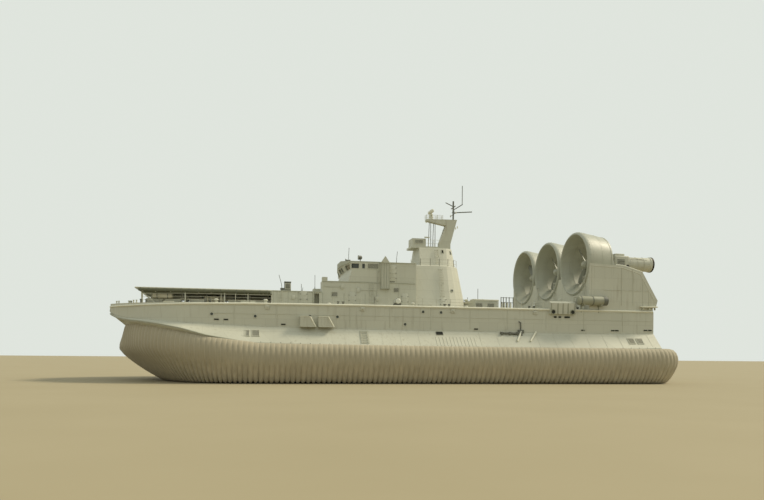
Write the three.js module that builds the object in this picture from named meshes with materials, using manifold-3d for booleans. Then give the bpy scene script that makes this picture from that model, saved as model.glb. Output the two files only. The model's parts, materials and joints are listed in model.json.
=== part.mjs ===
// A large landing hovercraft at half scale: +X to the bow, +Y to port, +Z up, origin on the ground amidships.
// Every size below is in metres of the full-size craft; MM turns it into millimetres of the half-scale model.
import * as THREE from "three";
import { mergeVertices } from "three/addons/utils/BufferGeometryUtils.js";
import Module from "manifold-3d";

const wasm = await Module();
wasm.setup();

const SCALE = 0.5;
const MM = 1000 * SCALE;
const GAP = 0.0008; // running gap between pieces that touch

// Whole craft
const LENGTH = 57.3;
const BOW = LENGTH / 2;
const BEAM = 25.6;
const DECK_Z = 7.4;
const CARGO_Z = 3.9;
const KEEL_Z = 2.3; // underside of the pontoon
const HOLD_HALF = 4.0;
const BAY_HALF = 2.8; // half the width of the bow opening
const STERN_X = -26.5;
const PONTOON_STERN = -26.25;
const DECK_THICK = 0.28;

// Skirt: how far it stands out from the pontoon, and where its four lengths meet
const BULGE = BEAM / 2 - 10.4;
const SKIRT_FORE_X = 14.0;
const SKIRT_AFT_X = -24.5;
const LIP = 0.12; // plate at the lower edge of the side strake

// Superstructure
const HOUSE_HALF = 5.0;
const HOUSE_FRONT = 5.7;
// Side wings of the superstructure, ahead of its middle, and the doorways beside them
const WING = { front: 7.48, inner: 3.6 };
const DOORWAY = { aft: 7.76, fore: 8.26, deep: 0.8, top: 8.95 };
const TIER_Z = 10.24;
const WHEELHOUSE = { aft: 1.45, top: 12.25, wall: 0.18, facet: 1.4 };
const ROOF_Z = 12.35;
const TOWER_FRONT = -2.4;
const TOWER_AFT = -8.8;
const TOWER_Z = 14.6;
const CANOPY = { aft: 12.53, fore: 25.7, top: 9.15, under: 8.8, post: 0.07 };

// Ducted propellers: one on the centre line and one each side
const DUCT = { x: -19.14, z: 12.59, pitch: 6.97, lip: 3.374, throat: 2.68, rear: 2.9, length: 3.06 };
const PROP = { x: -20.75, radius: 2.6, hub: 0.42, blades: 4 };
const NACELLE = { radius: 0.75, rise: 0.2, aft: -28.2 };
const RUDDER = { x: -21.98, offset: 1.35, half: 1.98, lead: 0.22, trail: 0.74, thick: 0.14 };
const FIN = { inner: 10.0, outer: 10.35 };

const hullPaint = paint(0x9aa391, 0.62, 0.1);
const deckPaint = paint(0x8b9385, 0.75, 0.05);
const skirtRubber = paint(0x5e5848, 0.85, 0);
const ductPaint = paint(0xa3ab9a, 0.55, 0.1);
const propAlloy = paint(0x3c4044, 0.4, 0.7);
const darkSteel = paint(0x4a4d48, 0.6, 0.5);
const whitePaint = paint(0xdadcd2, 0.5, 0.05);

function paint(color, roughness, metalness) {
  return new THREE.MeshStandardMaterial({ color, roughness, metalness });
}

// Signed volume of a geometry with an index, in cubic millimetres.
function signedVolume(geometry) {
  const { position } = geometry.attributes;
  const corner = [new THREE.Vector3(), new THREE.Vector3(), new THREE.Vector3()];
  let sum = 0;
  for (let i = 0; i < geometry.index.count; i += 3) {
    corner.forEach((v, k) => v.fromBufferAttribute(position, geometry.index.getX(i + k)));
    sum += corner[0].dot(corner[1].cross(corner[2]));
  }
  return sum / 6;
}

// Merges shared corners, drops collapsed faces and turns the faces outwards.
function weld(source) {
  const bare = source.clone();
  bare.deleteAttribute("normal");
  bare.deleteAttribute("uv");
  const merged = mergeVertices(bare, 2e-3);
  const ids = merged.index.array;
  const kept = [];
  for (let i = 0; i < ids.length; i += 3) {
    const [a, b, c] = [ids[i], ids[i + 1], ids[i + 2]];
    if (a !== b && b !== c && c !== a) kept.push(a, b, c);
  }
  merged.setIndex(kept);
  if (signedVolume(merged) < 0) merged.setIndex(kept.reverse());
  return merged;
}

function solidOf(geometry) {
  const vertProperties = geometry.attributes.position.array;
  const triVerts = new Uint32Array(geometry.index.array);
  return new wasm.Manifold(new wasm.Mesh({ numProp: 3, vertProperties, triVerts }));
}

function geometryOf(solid) {
  const made = solid.getMesh();
  const points = new Float32Array(made.numVert * 3);
  for (let i = 0; i < made.numVert; i++) {
    points.set(made.vertProperties.subarray(i * made.numProp, i * made.numProp + 3), i * 3);
  }
  const geometry = new THREE.BufferGeometry();
  geometry.setAttribute("position", new THREE.BufferAttribute(points, 3));
  geometry.setIndex(new THREE.BufferAttribute(made.triVerts, 1));
  return geometry;
}

const join = (...pieces) => geometryOf(pieces.map(solidOf).reduce((a, b) => a.add(b)));
const cut = (body, ...tools) => geometryOf(tools.map(solidOf).reduce((a, b) => a.subtract(b), solidOf(body)));

const common = (a, b) => geometryOf(solidOf(a).intersect(solidOf(b)));

// The largest body that a cut leaves.
function largest(geometry) {
  const bodies = solidOf(geometry).decompose();
  return geometryOf(bodies.reduce((a, b) => (b.volume() > a.volume() ? b : a)));
}

function mirrored(geometry) {
  return weld(geometry.clone().scale(1, -1, 1));
}

function box(x0, x1, y0, y1, z0, z1) {
  const block = new THREE.BoxGeometry((x1 - x0) * MM, (y1 - y0) * MM, (z1 - z0) * MM);
  return weld(block.translate(((x0 + x1) / 2) * MM, ((y0 + y1) / 2) * MM, ((z0 + z1) / 2) * MM));
}

// An outline in the plane across an axis, extruded along it. Outlines are [x, z] along y, [y, z] along x, [x, y] along z.
function prism(axis, outline, from, to) {
  const shape = new THREE.Shape(outline.map(([a, b]) => new THREE.Vector2(a * MM, b * MM)));
  const length = (to - from) * MM;
  const body = new THREE.ExtrudeGeometry(shape, { depth: length, bevelEnabled: false });
  const [x, y, z] = [new THREE.Vector3(1, 0, 0), new THREE.Vector3(0, 1, 0), new THREE.Vector3(0, 0, 1)];
  const turn = new THREE.Matrix4();
  if (axis === "y") turn.makeBasis(x, z, y.clone().negate()).setPosition(0, to * MM, 0);
  if (axis === "x") turn.makeBasis(y, z, x).setPosition(from * MM, 0, 0);
  if (axis === "z") turn.setPosition(0, 0, from * MM);
  return weld(body.applyMatrix4(turn));
}

// A closed profile of [x, radius] turned round the X axis.
function turned(profile, segments) {
  const points = profile.map(([x, r]) => new THREE.Vector2(r * MM, x * MM));
  return weld(new THREE.LatheGeometry(points, segments).rotateZ(-Math.PI / 2));
}

function rod(from, to, radius, sides = 10) {
  const a = new THREE.Vector3(...from).multiplyScalar(MM);
  const b = new THREE.Vector3(...to).multiplyScalar(MM);
  const along = b.clone().sub(a);
  const body = new THREE.CylinderGeometry(radius * MM, radius * MM, along.length(), sides);
  const turn = new THREE.Quaternion().setFromUnitVectors(new THREE.Vector3(0, 1, 0), along.clone().normalize());
  const middle = a.add(b).multiplyScalar(0.5);
  return weld(body.applyQuaternion(turn).translate(middle.x, middle.y, middle.z));
}

// The corners of a ring laid flat on its own plane, for filling it with triangles.
function flattened(ring) {
  const points = ring.map((p) => new THREE.Vector3(...p));
  const normal = new THREE.Vector3();
  points.forEach((p, i) => normal.add(p.clone().cross(points[(i + 1) % points.length])));
  normal.normalize();
  const u = points[1].clone().sub(points[0]).normalize();
  const v = normal.clone().cross(u);
  return points.map((p) => new THREE.Vector2(p.dot(u), p.dot(v)));
}

// Rings of [x, y, z] with the same number of corners, joined side by side into one closed body.
function loft(rings) {
  const count = rings[0].length;
  const index = [];
  for (let r = 0; r + 1 < rings.length; r++) {
    for (let i = 0; i < count; i++) {
      const a = r * count + i;
      const b = r * count + ((i + 1) % count);
      index.push(a, b, a + count, b, b + count, a + count);
    }
  }
  const caps = [
    [rings[0], 0, -1],
    [rings[rings.length - 1], (rings.length - 1) * count, 1],
  ];
  for (const [ring, first, facing] of caps) {
    const flat = flattened(ring);
    for (const [a, b, c] of THREE.ShapeUtils.triangulateShape(flat, [])) {
      const turn = flat[b].clone().sub(flat[a]).cross(flat[c].clone().sub(flat[a])) * facing;
      index.push(first + a, first + (turn > 0 ? b : c), first + (turn > 0 ? c : b));
    }
  }
  const geometry = new THREE.BufferGeometry();
  const points = rings.flat(2).map((v) => v * MM);
  geometry.setAttribute("position", new THREE.Float32BufferAttribute(points, 3));
  geometry.setIndex(index);
  return weld(geometry);
}

const craft = new THREE.Group();

function place(name, geometry, material, parent = craft) {
  const mesh = new THREE.Mesh(geometry, material);
  mesh.name = name;
  parent.add(mesh);
  return mesh;
}

// A piece of the port side and its mirror image to starboard.
function placePair(name, geometry, material) {
  place(`port_${name}`, geometry, material);
  place(`starboard_${name}`, mirrored(geometry), material);
}

// Pontoon side on the port half, with the skirt that hangs there.
// x, y, height of the skirt's top, how far its foot is drawn in under the pontoon
const SHORE = [
  [SKIRT_FORE_X, 10.4, 3.75, 0.0],
  [17.0, 10.3, 4.15, 0.3],
  [19.5, 9.6, 4.7, 1.0],
  [21.6, 8.3, 5.4, 1.8],
  [23.3, 6.4, 5.9, 2.6],
  [24.5, 4.3, 6.1, 3.0],
  [24.85, 3.4, 5.2, 3.1],
  [25.1, 2.6, 4.45, 3.2],
  [25.2, 0.0, 4.4, 3.2],
];
// The stern's rows add their own outward direction, which keeps the inflated corner square.
const STERN_SHORE = [
  [SKIRT_AFT_X, 10.4, 3.6, 0, 0, 1],
  [-26.0, 10.4, 3.6, 0, -0.35, 1],
  [-26.15, 10.35, 3.6, 0, -0.8, 0.85],
  [PONTOON_STERN, 10.2, 3.6, 0, -1, 0.4],
  [PONTOON_STERN, 9.0, 3.6, 0, -1, 0],
  [PONTOON_STERN, 0, 3.6, 0, -1, 0],
];

const flipY = ([x, y, ...rest]) => [x, -y, ...rest];

// The port shore rows with their outward direction added; the last row lies on the centre line.
function directed(rows) {
  return rows.map((row, i) => {
    const before = rows[i - 1] ?? [2 * row[0] - rows[1][0], row[1]];
    const after = rows[i + 1] ?? flipY(rows[i - 1]);
    const along = new THREE.Vector2(after[0] - before[0], after[1] - before[1]).normalize();
    const outward = new THREE.Vector2(along.y, -along.x);
    if (outward.x * row[0] + outward.y * row[1] < 0) outward.negate();
    return [...row, outward.x, outward.y];
  });
}

const bowShore = directed(SHORE);

// The pontoon, or with a grow value a slightly fatter one that cuts its neighbours clear.
function pontoon(grow = 0) {
  const edge = ([x, y, , , nx, ny]) => [x + nx * grow, y + ny * grow];
  const bow = bowShore.map(edge);
  const stern = STERN_SHORE.map(edge);
  const port = [...stern.slice().reverse(), ...bow];
  const starboard = port.slice(1, -1).map(flipY).reverse();
  return prism("z", [...port, ...starboard], KEEL_Z - grow, CARGO_Z + grow);
}

// Side hull stations. x, inner wall, edge of the pontoon, underside z, strake edge y and z, knuckle y and z, deck y and z
const STATIONS = [
  [STERN_X, HOLD_HALF, 10.4, CARGO_Z, 12.0, 3.58, 10.4, 5.15, 10.4, DECK_Z],
  [-19.0, HOLD_HALF, 10.4, CARGO_Z, 12.0, 3.45, 10.4, 5.08, 10.4, DECK_Z],
  [5.0, HOLD_HALF, 10.4, CARGO_Z, 12.0, 3.52, 10.4, 5.18, 10.4, DECK_Z],
  [14.8, HOLD_HALF, 10.4, CARGO_Z, 12.0, 3.72, 10.4, 5.32, 10.4, DECK_Z],
  [18.7, HOLD_HALF, 10.4, CARGO_Z, 11.85, 4.37, 10.4, 5.46, 10.35, DECK_Z],
  [20.9, HOLD_HALF, 9.6, CARGO_Z, 11.3, 4.98, 10.2, 5.56, 10.1, DECK_Z],
  [23.0, HOLD_HALF, 7.7, CARGO_Z, 10.2, 5.4, 9.5, 5.75, 9.35, DECK_Z],
  [24.6, 3.4, 5.1, 4.05, 8.7, 5.66, 8.3, 5.92, 8.2, 7.42],
  [26.0, BAY_HALF, 3.6, 4.75, 7.0, 5.85, 6.8, 6.1, 6.8, 7.45],
  [27.2, BAY_HALF, 3.2, 5.75, 5.5, 6.1, 5.4, 6.33, 5.4, 7.48],
  [28.1, BAY_HALF, 3.0, 6.45, 4.0, 6.52, 4.05, 6.7, 4.05, 7.5],
];

function sideHull(grow = 0) {
  const rise = grow ? -grow : GAP;
  return loft(
    STATIONS.map(([x, inner, tuck, base, edgeY, edgeZ, kneeY, kneeZ, deckY, deckZ]) => [
      [x, inner, base + rise],
      [x, tuck, base + rise],
      [x, edgeY + grow, edgeZ - LIP - grow],
      [x, edgeY + grow, edgeZ + grow],
      [x, kneeY, kneeZ],
      [x, deckY, deckZ],
      [x, inner, deckZ],
    ]),
  );
}

// Skirt section. distance out from the pontoon's side and height, for a skirt whose top is at SKIRT_TOP
const SKIRT_TOP = 3.45;
const SKIRT_SECTION = [
  [GAP, SKIRT_TOP],
  [GAP, KEEL_Z],
  [0.55, 0],
  [1.15, 0],
  [1.85, 0.75],
  [2.27, 1.6],
  [BULGE, 2.4],
  [2.22, 3.1],
  [1.6, SKIRT_TOP],
];
const RAKE_FROM = 3.2; // height below which the foot is drawn in

// One length of skirt along shore rows.
function skirt(rows) {
  const rings = rows.map(([x, y, top, rake, nx, ny]) =>
    SKIRT_SECTION.map(([out, z], i) => {
      const height = i < 2 ? z : (z * top) / SKIRT_TOP;
      const low = Math.max(0, 1 - height / RAKE_FROM);
      const reach = out - rake * low ** 1.2;
      return [x + nx * reach, y + ny * reach, height];
    }),
  );
  const hull = sideHull(GAP);
  return largest(cut(loft(rings), hull, mirrored(hull), pontoon(GAP), bowSill(GAP)));
}

// Raised end of the cargo deck under the bow ramp's hinge.
const SILL_AFT = 21.0;
const SILL_TOP = 4.95;
const FLOOR_TOP = CARGO_Z + 0.1;
function bowSill(grow = 0) {
  const outline = [
    [SILL_AFT, CARGO_Z + GAP - grow],
    [25.2, CARGO_Z + GAP - grow],
    [26.38 + grow, 4.6 - grow],
    [26.38 + grow, SILL_TOP],
    [25.7, SILL_TOP],
    [SILL_AFT, FLOOR_TOP],
  ];
  return prism("y", outline, -BAY_HALF + 0.05 - grow, BAY_HALF - 0.05 + grow);
}

// Hull and decks
place("pontoon", pontoon(), hullPaint);
placePair("side_hull", sideHull(), hullPaint);
place("bow_sill", bowSill(), deckPaint);
const floorHalf = HOLD_HALF - GAP;
place("hold_floor", box(-25.9, SILL_AFT - GAP, -floorHalf, floorHalf, CARGO_Z + GAP, FLOOR_TOP), deckPaint);

// Deck over the hold. x, half width, top z
const ROOF_STATIONS = [
  [-26.1, HOLD_HALF, DECK_Z],
  [23.0, HOLD_HALF, DECK_Z],
  [24.6, 3.4, 7.42],
  [26.0, BAY_HALF, 7.45],
  [27.7, BAY_HALF, 7.49],
];
place(
  "hold_roof_deck",
  loft(
    ROOF_STATIONS.map(([x, half, z]) => [
      [x, -half + GAP, z - DECK_THICK],
      [x, half - GAP, z - DECK_THICK],
      [x, half - GAP, z],
      [x, -half + GAP, z],
    ]),
  ),
  deckPaint,
);

// Bow ramp: a raked panel on a barrel that rests on the sill, folding forwards and down
const BARREL = 0.11;
const BOW_HINGE = [26.37, SILL_TOP + BARREL + GAP];
const RAMP_HALF = BAY_HALF - 0.12;
const bowPanel = [
  [BOW_HINGE[0] + 0.06, BOW_HINGE[1] - 0.04],
  [28.42, 6.86],
  [28.3, 7.52],
  [28.02, 7.52],
  [27.9, 7.05],
  [BOW_HINGE[0] - 0.06, BOW_HINGE[1] + 0.04],
];
const bowBarrel = rod([BOW_HINGE[0], -RAMP_HALF, BOW_HINGE[1]], [BOW_HINGE[0], RAMP_HALF, BOW_HINGE[1]], BARREL, 24);
const bowFender = box(28.2, BOW, -0.7, 0.7, 6.92, 7.3);
place("bow_ramp", join(prism("y", bowPanel, -RAMP_HALF, RAMP_HALF), bowBarrel, bowFender), hullPaint);

// Stern ramp: an upright panel folding aft and down
const STERN_HINGE = [-26.08, CARGO_Z + BARREL + GAP];
const STERN_RAMP_HALF = HOLD_HALF - 0.1;
const sternPanel = [
  [STERN_HINGE[0] - 0.08, STERN_HINGE[1]],
  [STERN_HINGE[0] - 0.26, 7.02],
  [STERN_HINGE[0] - 0.04, 7.02],
  [STERN_HINGE[0] + 0.08, STERN_HINGE[1]],
];
const sternBarrel = rod(
  [STERN_HINGE[0], -STERN_RAMP_HALF, STERN_HINGE[1]],
  [STERN_HINGE[0], STERN_RAMP_HALF, STERN_HINGE[1]],
  BARREL,
  24,
);
place("stern_ramp", join(prism("y", sternPanel, -STERN_RAMP_HALF, STERN_RAMP_HALF), sternBarrel), hullPaint);

// Skirt
const sideRow = (x, top) => [x, 10.4, top, 0, 0, 1];
const bowHalf = skirt(bowShore);
place("bow_skirt", join(bowHalf, mirrored(bowHalf)), skirtRubber);
const sideSkirt = skirt([sideRow(SKIRT_AFT_X + GAP, 3.6), sideRow(-5, 3.6), sideRow(SKIRT_FORE_X - GAP, 3.75)]);
placePair("side_skirt", sideSkirt, skirtRubber);
const sternHalf = skirt(STERN_SHORE);
place("stern_skirt", join(sternHalf, mirrored(sternHalf)), skirtRubber);

const keelSection = [
  [-0.45, KEEL_Z - GAP],
  [-0.3, 0.1],
  [0.3, 0.1],
  [0.45, KEEL_Z - GAP],
];
place("keel_skirt", prism("x", keelSection, -25.8, 21.8), skirtRubber);
placePair("landing_rail", box(-20, 18, 5.75, 6.25, 1.65, KEEL_Z - GAP), darkSteel);

// Shelter on the foredeck: a flat roof on posts
const canopyProfile = [
  [CANOPY.aft + GAP, CANOPY.under],
  [CANOPY.fore - 0.5, CANOPY.under],
  [CANOPY.fore, CANOPY.top - 0.1],
  [CANOPY.fore, CANOPY.top],
  [CANOPY.aft + GAP, CANOPY.top],
];
place("canopy_roof", prism("y", canopyProfile, -HOUSE_HALF, HOUSE_HALF), deckPaint);
const POST_Y = 4.75;
const POST_X = [25.1, 21.0, 17.2, 14.9];
const sill = box(14.6, 25.3, POST_Y - 0.09, POST_Y + 0.09, 7.45 + GAP, 7.57);
const brace = rod([25.0, POST_Y, 8.62], [23.7, POST_Y, 7.52], CANOPY.post);
const posts = POST_X.map((x) => rod([x, POST_Y, 7.5], [x, POST_Y, CANOPY.under - GAP], CANOPY.post));
placePair("canopy_posts", join(sill, brace, ...posts), hullPaint);

// Houses on the deck
const housed = (x0, x1, z0, z1) => box(x0, x1, -HOUSE_HALF, HOUSE_HALF, z0, z1);
// A block on each side of the hold, from y = inner out to y = outer
const onBothSides = (x0, x1, inner, outer, z0, z1) =>
  join(box(x0, x1, inner, outer, z0, z1), box(x0, x1, -outer, -inner, z0, z1));
const wings = onBothSides(HOUSE_FRONT - 0.1, WING.front, WING.inner, HOUSE_HALF, DECK_Z + GAP, TIER_Z);
const wingSeats = onBothSides(
  HOUSE_FRONT - 1, WING.front + GAP, WING.inner - GAP, HOUSE_HALF + 1, DECK_Z - 1, TIER_Z,
);
const doorways = onBothSides(
  DOORWAY.aft, DOORWAY.fore, HOUSE_HALF - DOORWAY.deep, HOUSE_HALF + 1, DECK_Z + 0.1, DOORWAY.top,
);
const foreHouse = housed(HOUSE_FRONT + GAP, CANOPY.aft, DECK_Z + GAP, 9.13);
const midHouse = housed(TOWER_FRONT + GAP, HOUSE_FRONT, DECK_Z + GAP, TIER_Z);
place("forward_deckhouse", cut(foreHouse, wingSeats, doorways), hullPaint);
place("superstructure", join(midHouse, wings), hullPaint);
place("upper_house", housed(TOWER_FRONT + GAP, WHEELHOUSE.aft - GAP, TIER_Z + GAP, ROOF_Z), hullPaint);
place("bow_locker", box(6.9, 7.43, 4.2, 4.8, TIER_Z + GAP, 10.68), hullPaint);

// Wheelhouse: a bowed front of three facets that leans in to a waist and out again to the window band.
// z, front corner x, x of the middle facet
const WHEELHOUSE_RINGS = [
  [TIER_Z + GAP, 4.75, 5.15],
  [11.55, 4.4, 4.62],
  [WHEELHOUSE.top, 4.55, 5.0],
];
function wheelhouseRing(z, fore, middle, inset) {
  const half = HOUSE_HALF - inset;
  const aft = WHEELHOUSE.aft + inset;
  const port = [
    [aft, half, z],
    [fore - inset, half, z],
    [middle - inset, WHEELHOUSE.facet, z],
  ];
  return [...port, ...port.map(flipY).reverse()];
}
const wheelhouseBody = (inset, reach) =>
  loft(
    WHEELHOUSE_RINGS.map(([z, fore, middle], i) => {
      const over = i === 0 ? -reach : reach * (i - 1);
      return wheelhouseRing(z + over, fore, middle, inset);
    }),
  );
// Windows. middle and half width, across the front and along each side
const FRONT_PANES = [[0.7, 0.55], [3.45, 0.9]];
const SIDE_PANES = [[4.07, 0.38], [3.2, 0.14]];
const PANE_Z = [11.66, 12.14];
const panes = [-1, 1].flatMap((side) => [
  ...FRONT_PANES.map(([y, half]) => box(4.0, 5.4, side * y - half, side * y + half, ...PANE_Z)),
  ...SIDE_PANES.map(([x, half]) =>
    box(x - half, x + half, side * HOUSE_HALF - 0.4, side * HOUSE_HALF + 0.4, ...PANE_Z),
  ),
]);
place("wheelhouse", cut(wheelhouseBody(0, 0), wheelhouseBody(WHEELHOUSE.wall, 0.5), ...panes), hullPaint);
const ROOF_EDGE_Z = 12.4;
const ROOF_CROWN_Z = 12.8;
const crown = [
  [-HOUSE_HALF, WHEELHOUSE.top + GAP],
  [HOUSE_HALF, WHEELHOUSE.top + GAP],
  [HOUSE_HALF, ROOF_EDGE_Z],
  [WHEELHOUSE.facet, ROOF_CROWN_Z],
  [-WHEELHOUSE.facet, ROOF_CROWN_Z],
  [-HOUSE_HALF, ROOF_EDGE_Z],
];
const eaves = wheelhouseRing(0, 4.6, 5.08, 0).map(([x, y]) => [x, y]);
const roofPlan = prism("z", eaves, WHEELHOUSE.top, ROOF_CROWN_Z + 0.1);
place("wheelhouse_roof", common(prism("x", crown, WHEELHOUSE.aft, 5.3), roofPlan), deckPaint);

// Ventilation trunk with a pointed cap on each side of the upper house
const trunkProfile = [
  [0.5, 9.6],
  [1.4, 9.6],
  [1.4, 12.3],
  [0.95, 12.97],
  [0.5, 12.3],
];
placePair("vent_trunk", prism("y", trunkProfile, HOUSE_HALF + GAP, HOUSE_HALF + 0.35), hullPaint);

// Mast tower: plan rings with rounded after corners, tapering upwards
// z, front x, aft x, half width, corner radius
const TOWER = [
  [DECK_Z + GAP, TOWER_FRONT, TOWER_AFT, HOUSE_HALF, 3.4],
  [ROOF_Z, TOWER_FRONT, -7.95, 3.5, 2.4],
  [12.6, -3.5, -7.9, 2.3, 1.8],
  [TOWER_Z, -3.6, -7.57, 1.5, 1.2],
];
const ARC_STEPS = 6;
function towerRing([z, front, aft, half, radius]) {
  const corner = [];
  for (let i = 0; i <= ARC_STEPS; i++) {
    const angle = (i / ARC_STEPS) * (Math.PI / 2);
    corner.push([aft + radius - radius * Math.sin(angle), half - radius + radius * Math.cos(angle), z]);
  }
  return [[front, half, z], ...corner, ...corner.map(flipY).reverse(), [front, -half, z]];
}
place("mast_tower", loft(TOWER.map(towerRing)), hullPaint);
const platform = box(-6.1, -2.8, -1.2, 1.2, TOWER_Z + GAP, TOWER_Z + 0.2);
const lookout = box(-4.5, -2.95, -0.9, 0.9, TOWER_Z + 0.1, 15.7);
place("mast_platform", join(platform, lookout), hullPaint);

// Raked mast with an arm towards the bow that carries the radar
const mastProfile = [
  [-7.5, TOWER_Z + GAP],
  [-6.2, TOWER_Z + GAP],
  [-6.2, 15.3],
  [-6.95, 17.35],
  [-4.7, 17.8],
  [-4.7, 18.0],
  [-7.7, 18.05],
  [-8.25, 18.05],
  [-7.5, 15.3],
];
const RADAR = { x: -5.3, z: 18.45 };
const pedestal = rod([RADAR.x, 0, 17.8], [RADAR.x, 0, RADAR.z], 0.22, 16);
place("mast", join(prism("y", mastProfile, -0.35, 0.35), pedestal), hullPaint);
const scannerBar = box(-0.18, 0.18, -0.75, 0.75, 0.2, 0.62);
const scannerHub = rod([0, 0, GAP], [0, 0, 0.25], 0.2, 16);
const scanner = place("radar_scanner", join(scannerBar, scannerHub), whitePaint);
scanner.position.set(RADAR.x * MM, 0, RADAR.z * MM);

const POLE_X = -7.9;
const poleParts = [
  rod([POLE_X, 0, 18.05 + GAP], [POLE_X, 0, 20.2], 0.09),
  rod([POLE_X, 0, 19.2], [-9.0, 0, 19.9], 0.05),
  rod([-8.95, 0, 19.85], [-8.95, 0, 22.0], 0.04),
  rod([POLE_X, 0, 18.9], [-10.1, 0, 19.1], 0.06),
  rod([POLE_X, 0, 19.6], [-7.0, 0, 20.0], 0.05),
  rod([POLE_X, -0.8, 19.5], [POLE_X, 0.8, 19.5], 0.05),
];
place("antenna_pole", join(...poleParts), darkSteel);
place("after_deckhouse", housed(-11.47, TOWER_AFT - GAP, DECK_Z + GAP, 8.7), hullPaint);

// Stern: housing under the ducts, side walls, ducts, nacelles, propellers and rudders
const SEGMENTS = 40;
const ductRear = DUCT.x - DUCT.length;
const OUTER_LINE = [
  [DUCT.x, DUCT.lip - 0.18],
  [DUCT.x - 0.1, DUCT.lip - 0.05],
  [DUCT.x - 0.3, DUCT.lip],
  [ductRear, DUCT.rear],
];
const INNER_LINE = [
  [ductRear, DUCT.throat + 0.02],
  [DUCT.x - 1.3, DUCT.throat],
  [DUCT.x - 0.5, DUCT.throat + 0.28],
  [DUCT.x - 0.1, DUCT.lip - 0.32],
  [DUCT.x, DUCT.lip - 0.24],
];
// The duct filled to its axis, a little fatter, which cuts a seat for it.
const ductPlug = (y) => {
  const fat = OUTER_LINE.map(([x, r], i) => [x + (i === 0 ? 0.02 : 0) - (i === 3 ? 0.02 : 0), r + 2 * GAP]);
  const profile = [[fat[0][0], 0], ...fat, [fat[3][0], 0]];
  return turned(profile, SEGMENTS).translate(0, y * MM, DUCT.z * MM);
};
const ductRing = (shrink) => {
  const inner = INNER_LINE.map(([x, r]) => [x, r - shrink]);
  return turned([...OUTER_LINE, ...inner, OUTER_LINE[0]], SEGMENTS);
};

// Ledge that stands out aft along the foot of the housing and the side walls
const LEDGE_TOP = 7.97;
const ledge = [
  [-26.78, LEDGE_TOP],
  [-26.78, LEDGE_TOP - 0.12],
  [-26.45, LEDGE_TOP - 0.12],
];
const housingProfile = [
  [-26.45, DECK_Z + GAP],
  [-19.3, DECK_Z + GAP],
  [-19.3, 11.3],
  [-22.05, 11.3],
  [-22.3, 9.7],
  [-25.2, 9.2],
  [-26.4, LEDGE_TOP],
  ...ledge,
];
const plugs = [-DUCT.pitch, 0, DUCT.pitch].map(ductPlug);
const housingBlock = prism("y", housingProfile, -FIN.inner + GAP, FIN.inner - GAP);
place("stern_housing", largest(cut(housingBlock, ...plugs)), hullPaint);

const finProfile = [
  [-19.3, DECK_Z + GAP],
  [-19.3, 12.3],
  [-23.1, 12.15],
  [-25.25, 11.54],
  [-27.0, 8.6],
  ...ledge,
  [-26.45, DECK_Z + GAP],
];
placePair("stern_side_wall", largest(cut(prism("y", finProfile, FIN.inner, FIN.outer), ...plugs)), hullPaint);

// Fittings on each side of the hull
const casingProfile = [
  [8.7, DECK_Z + GAP],
  [10.4 + GAP, DECK_Z + GAP],
  [10.4 + GAP, 6.9],
  [10.7, 7.0],
  [10.75, 8.1],
  [10.5, 8.3],
  [8.7, 8.3],
];
placePair("exhaust_casing", prism("x", casingProfile, -17.6, -14.9), hullPaint);
const tank = turned([[-1.6, 0], [-1.6, 0.36], [-1.5, 0.45], [1.5, 0.45], [1.6, 0.36], [1.6, 0]], 20);
placePair("side_tank", tank.translate(-19.35 * MM, (FIN.outer + 0.45 + GAP) * MM, 8.4 * MM), hullPaint);
for (const [name, x] of [["fore_hood", 10.14], ["after_hood", 8.44]]) {
  const hoodProfile = [
    [x, 5.3],
    [x, 6.25],
    [x - 0.9, 6.25],
    [x - 1.43, 5.3],
  ];
  placePair(name, prism("y", hoodProfile, 10.4 + GAP, 11.1), hullPaint);
}

// Nacelle behind each propeller, on a pylon and three vanes, seen from its own duct's axis
const NACELLE_FRONT = -21.35;
const shaftProfile = [
  [NACELLE_FRONT, 0],
  [NACELLE_FRONT, 0.42],
  [-22.0, 0.58],
  [-24.3, 0.66],
  [-24.3, 0],
];
const tailProfile = [
  [-25.0, 0],
  [-25.0, 0.68],
  [-25.4, NACELLE.radius],
  [NACELLE.aft + 0.35, NACELLE.radius],
  [NACELLE.aft + 0.3, NACELLE.radius + 0.06],
  [NACELLE.aft, NACELLE.radius + 0.06],
  [NACELLE.aft, NACELLE.radius - 0.06],
  [NACELLE.aft + 0.65, NACELLE.radius - 0.12],
  [NACELLE.aft + 0.65, 0],
];
const pylonProfile = [
  [-22.9, -3.4],
  [-22.9, -0.3],
  [-26.0, -0.3],
  [-25.6, -3.4],
];
function vane(angle) {
  const blade = box(-21.72, -21.4, -0.06, 0.06, 0.3, DUCT.throat + 0.1);
  return weld(blade.rotateX(angle));
}
function nacelle(y) {
  const shaft = turned(shaftProfile, 24);
  const tail = turned(tailProfile, 24).translate(0, 0, NACELLE.rise * MM);
  const gearbox = box(-25.3, -23.6, -0.72, 0.72, -0.65, 1.25);
  const pylon = prism("y", pylonProfile, -0.35, 0.35);
  const vanes = [0, (2 * Math.PI) / 3, (-2 * Math.PI) / 3].map(vane);
  const whole = join(shaft, tail, gearbox, pylon, ...vanes);
  const seat = prism("y", housingProfile, -FIN.inner, FIN.inner).translate(0, -y * MM, (GAP - DUCT.z) * MM);
  return largest(cut(whole, ductRing(GAP), seat));
}

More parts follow.
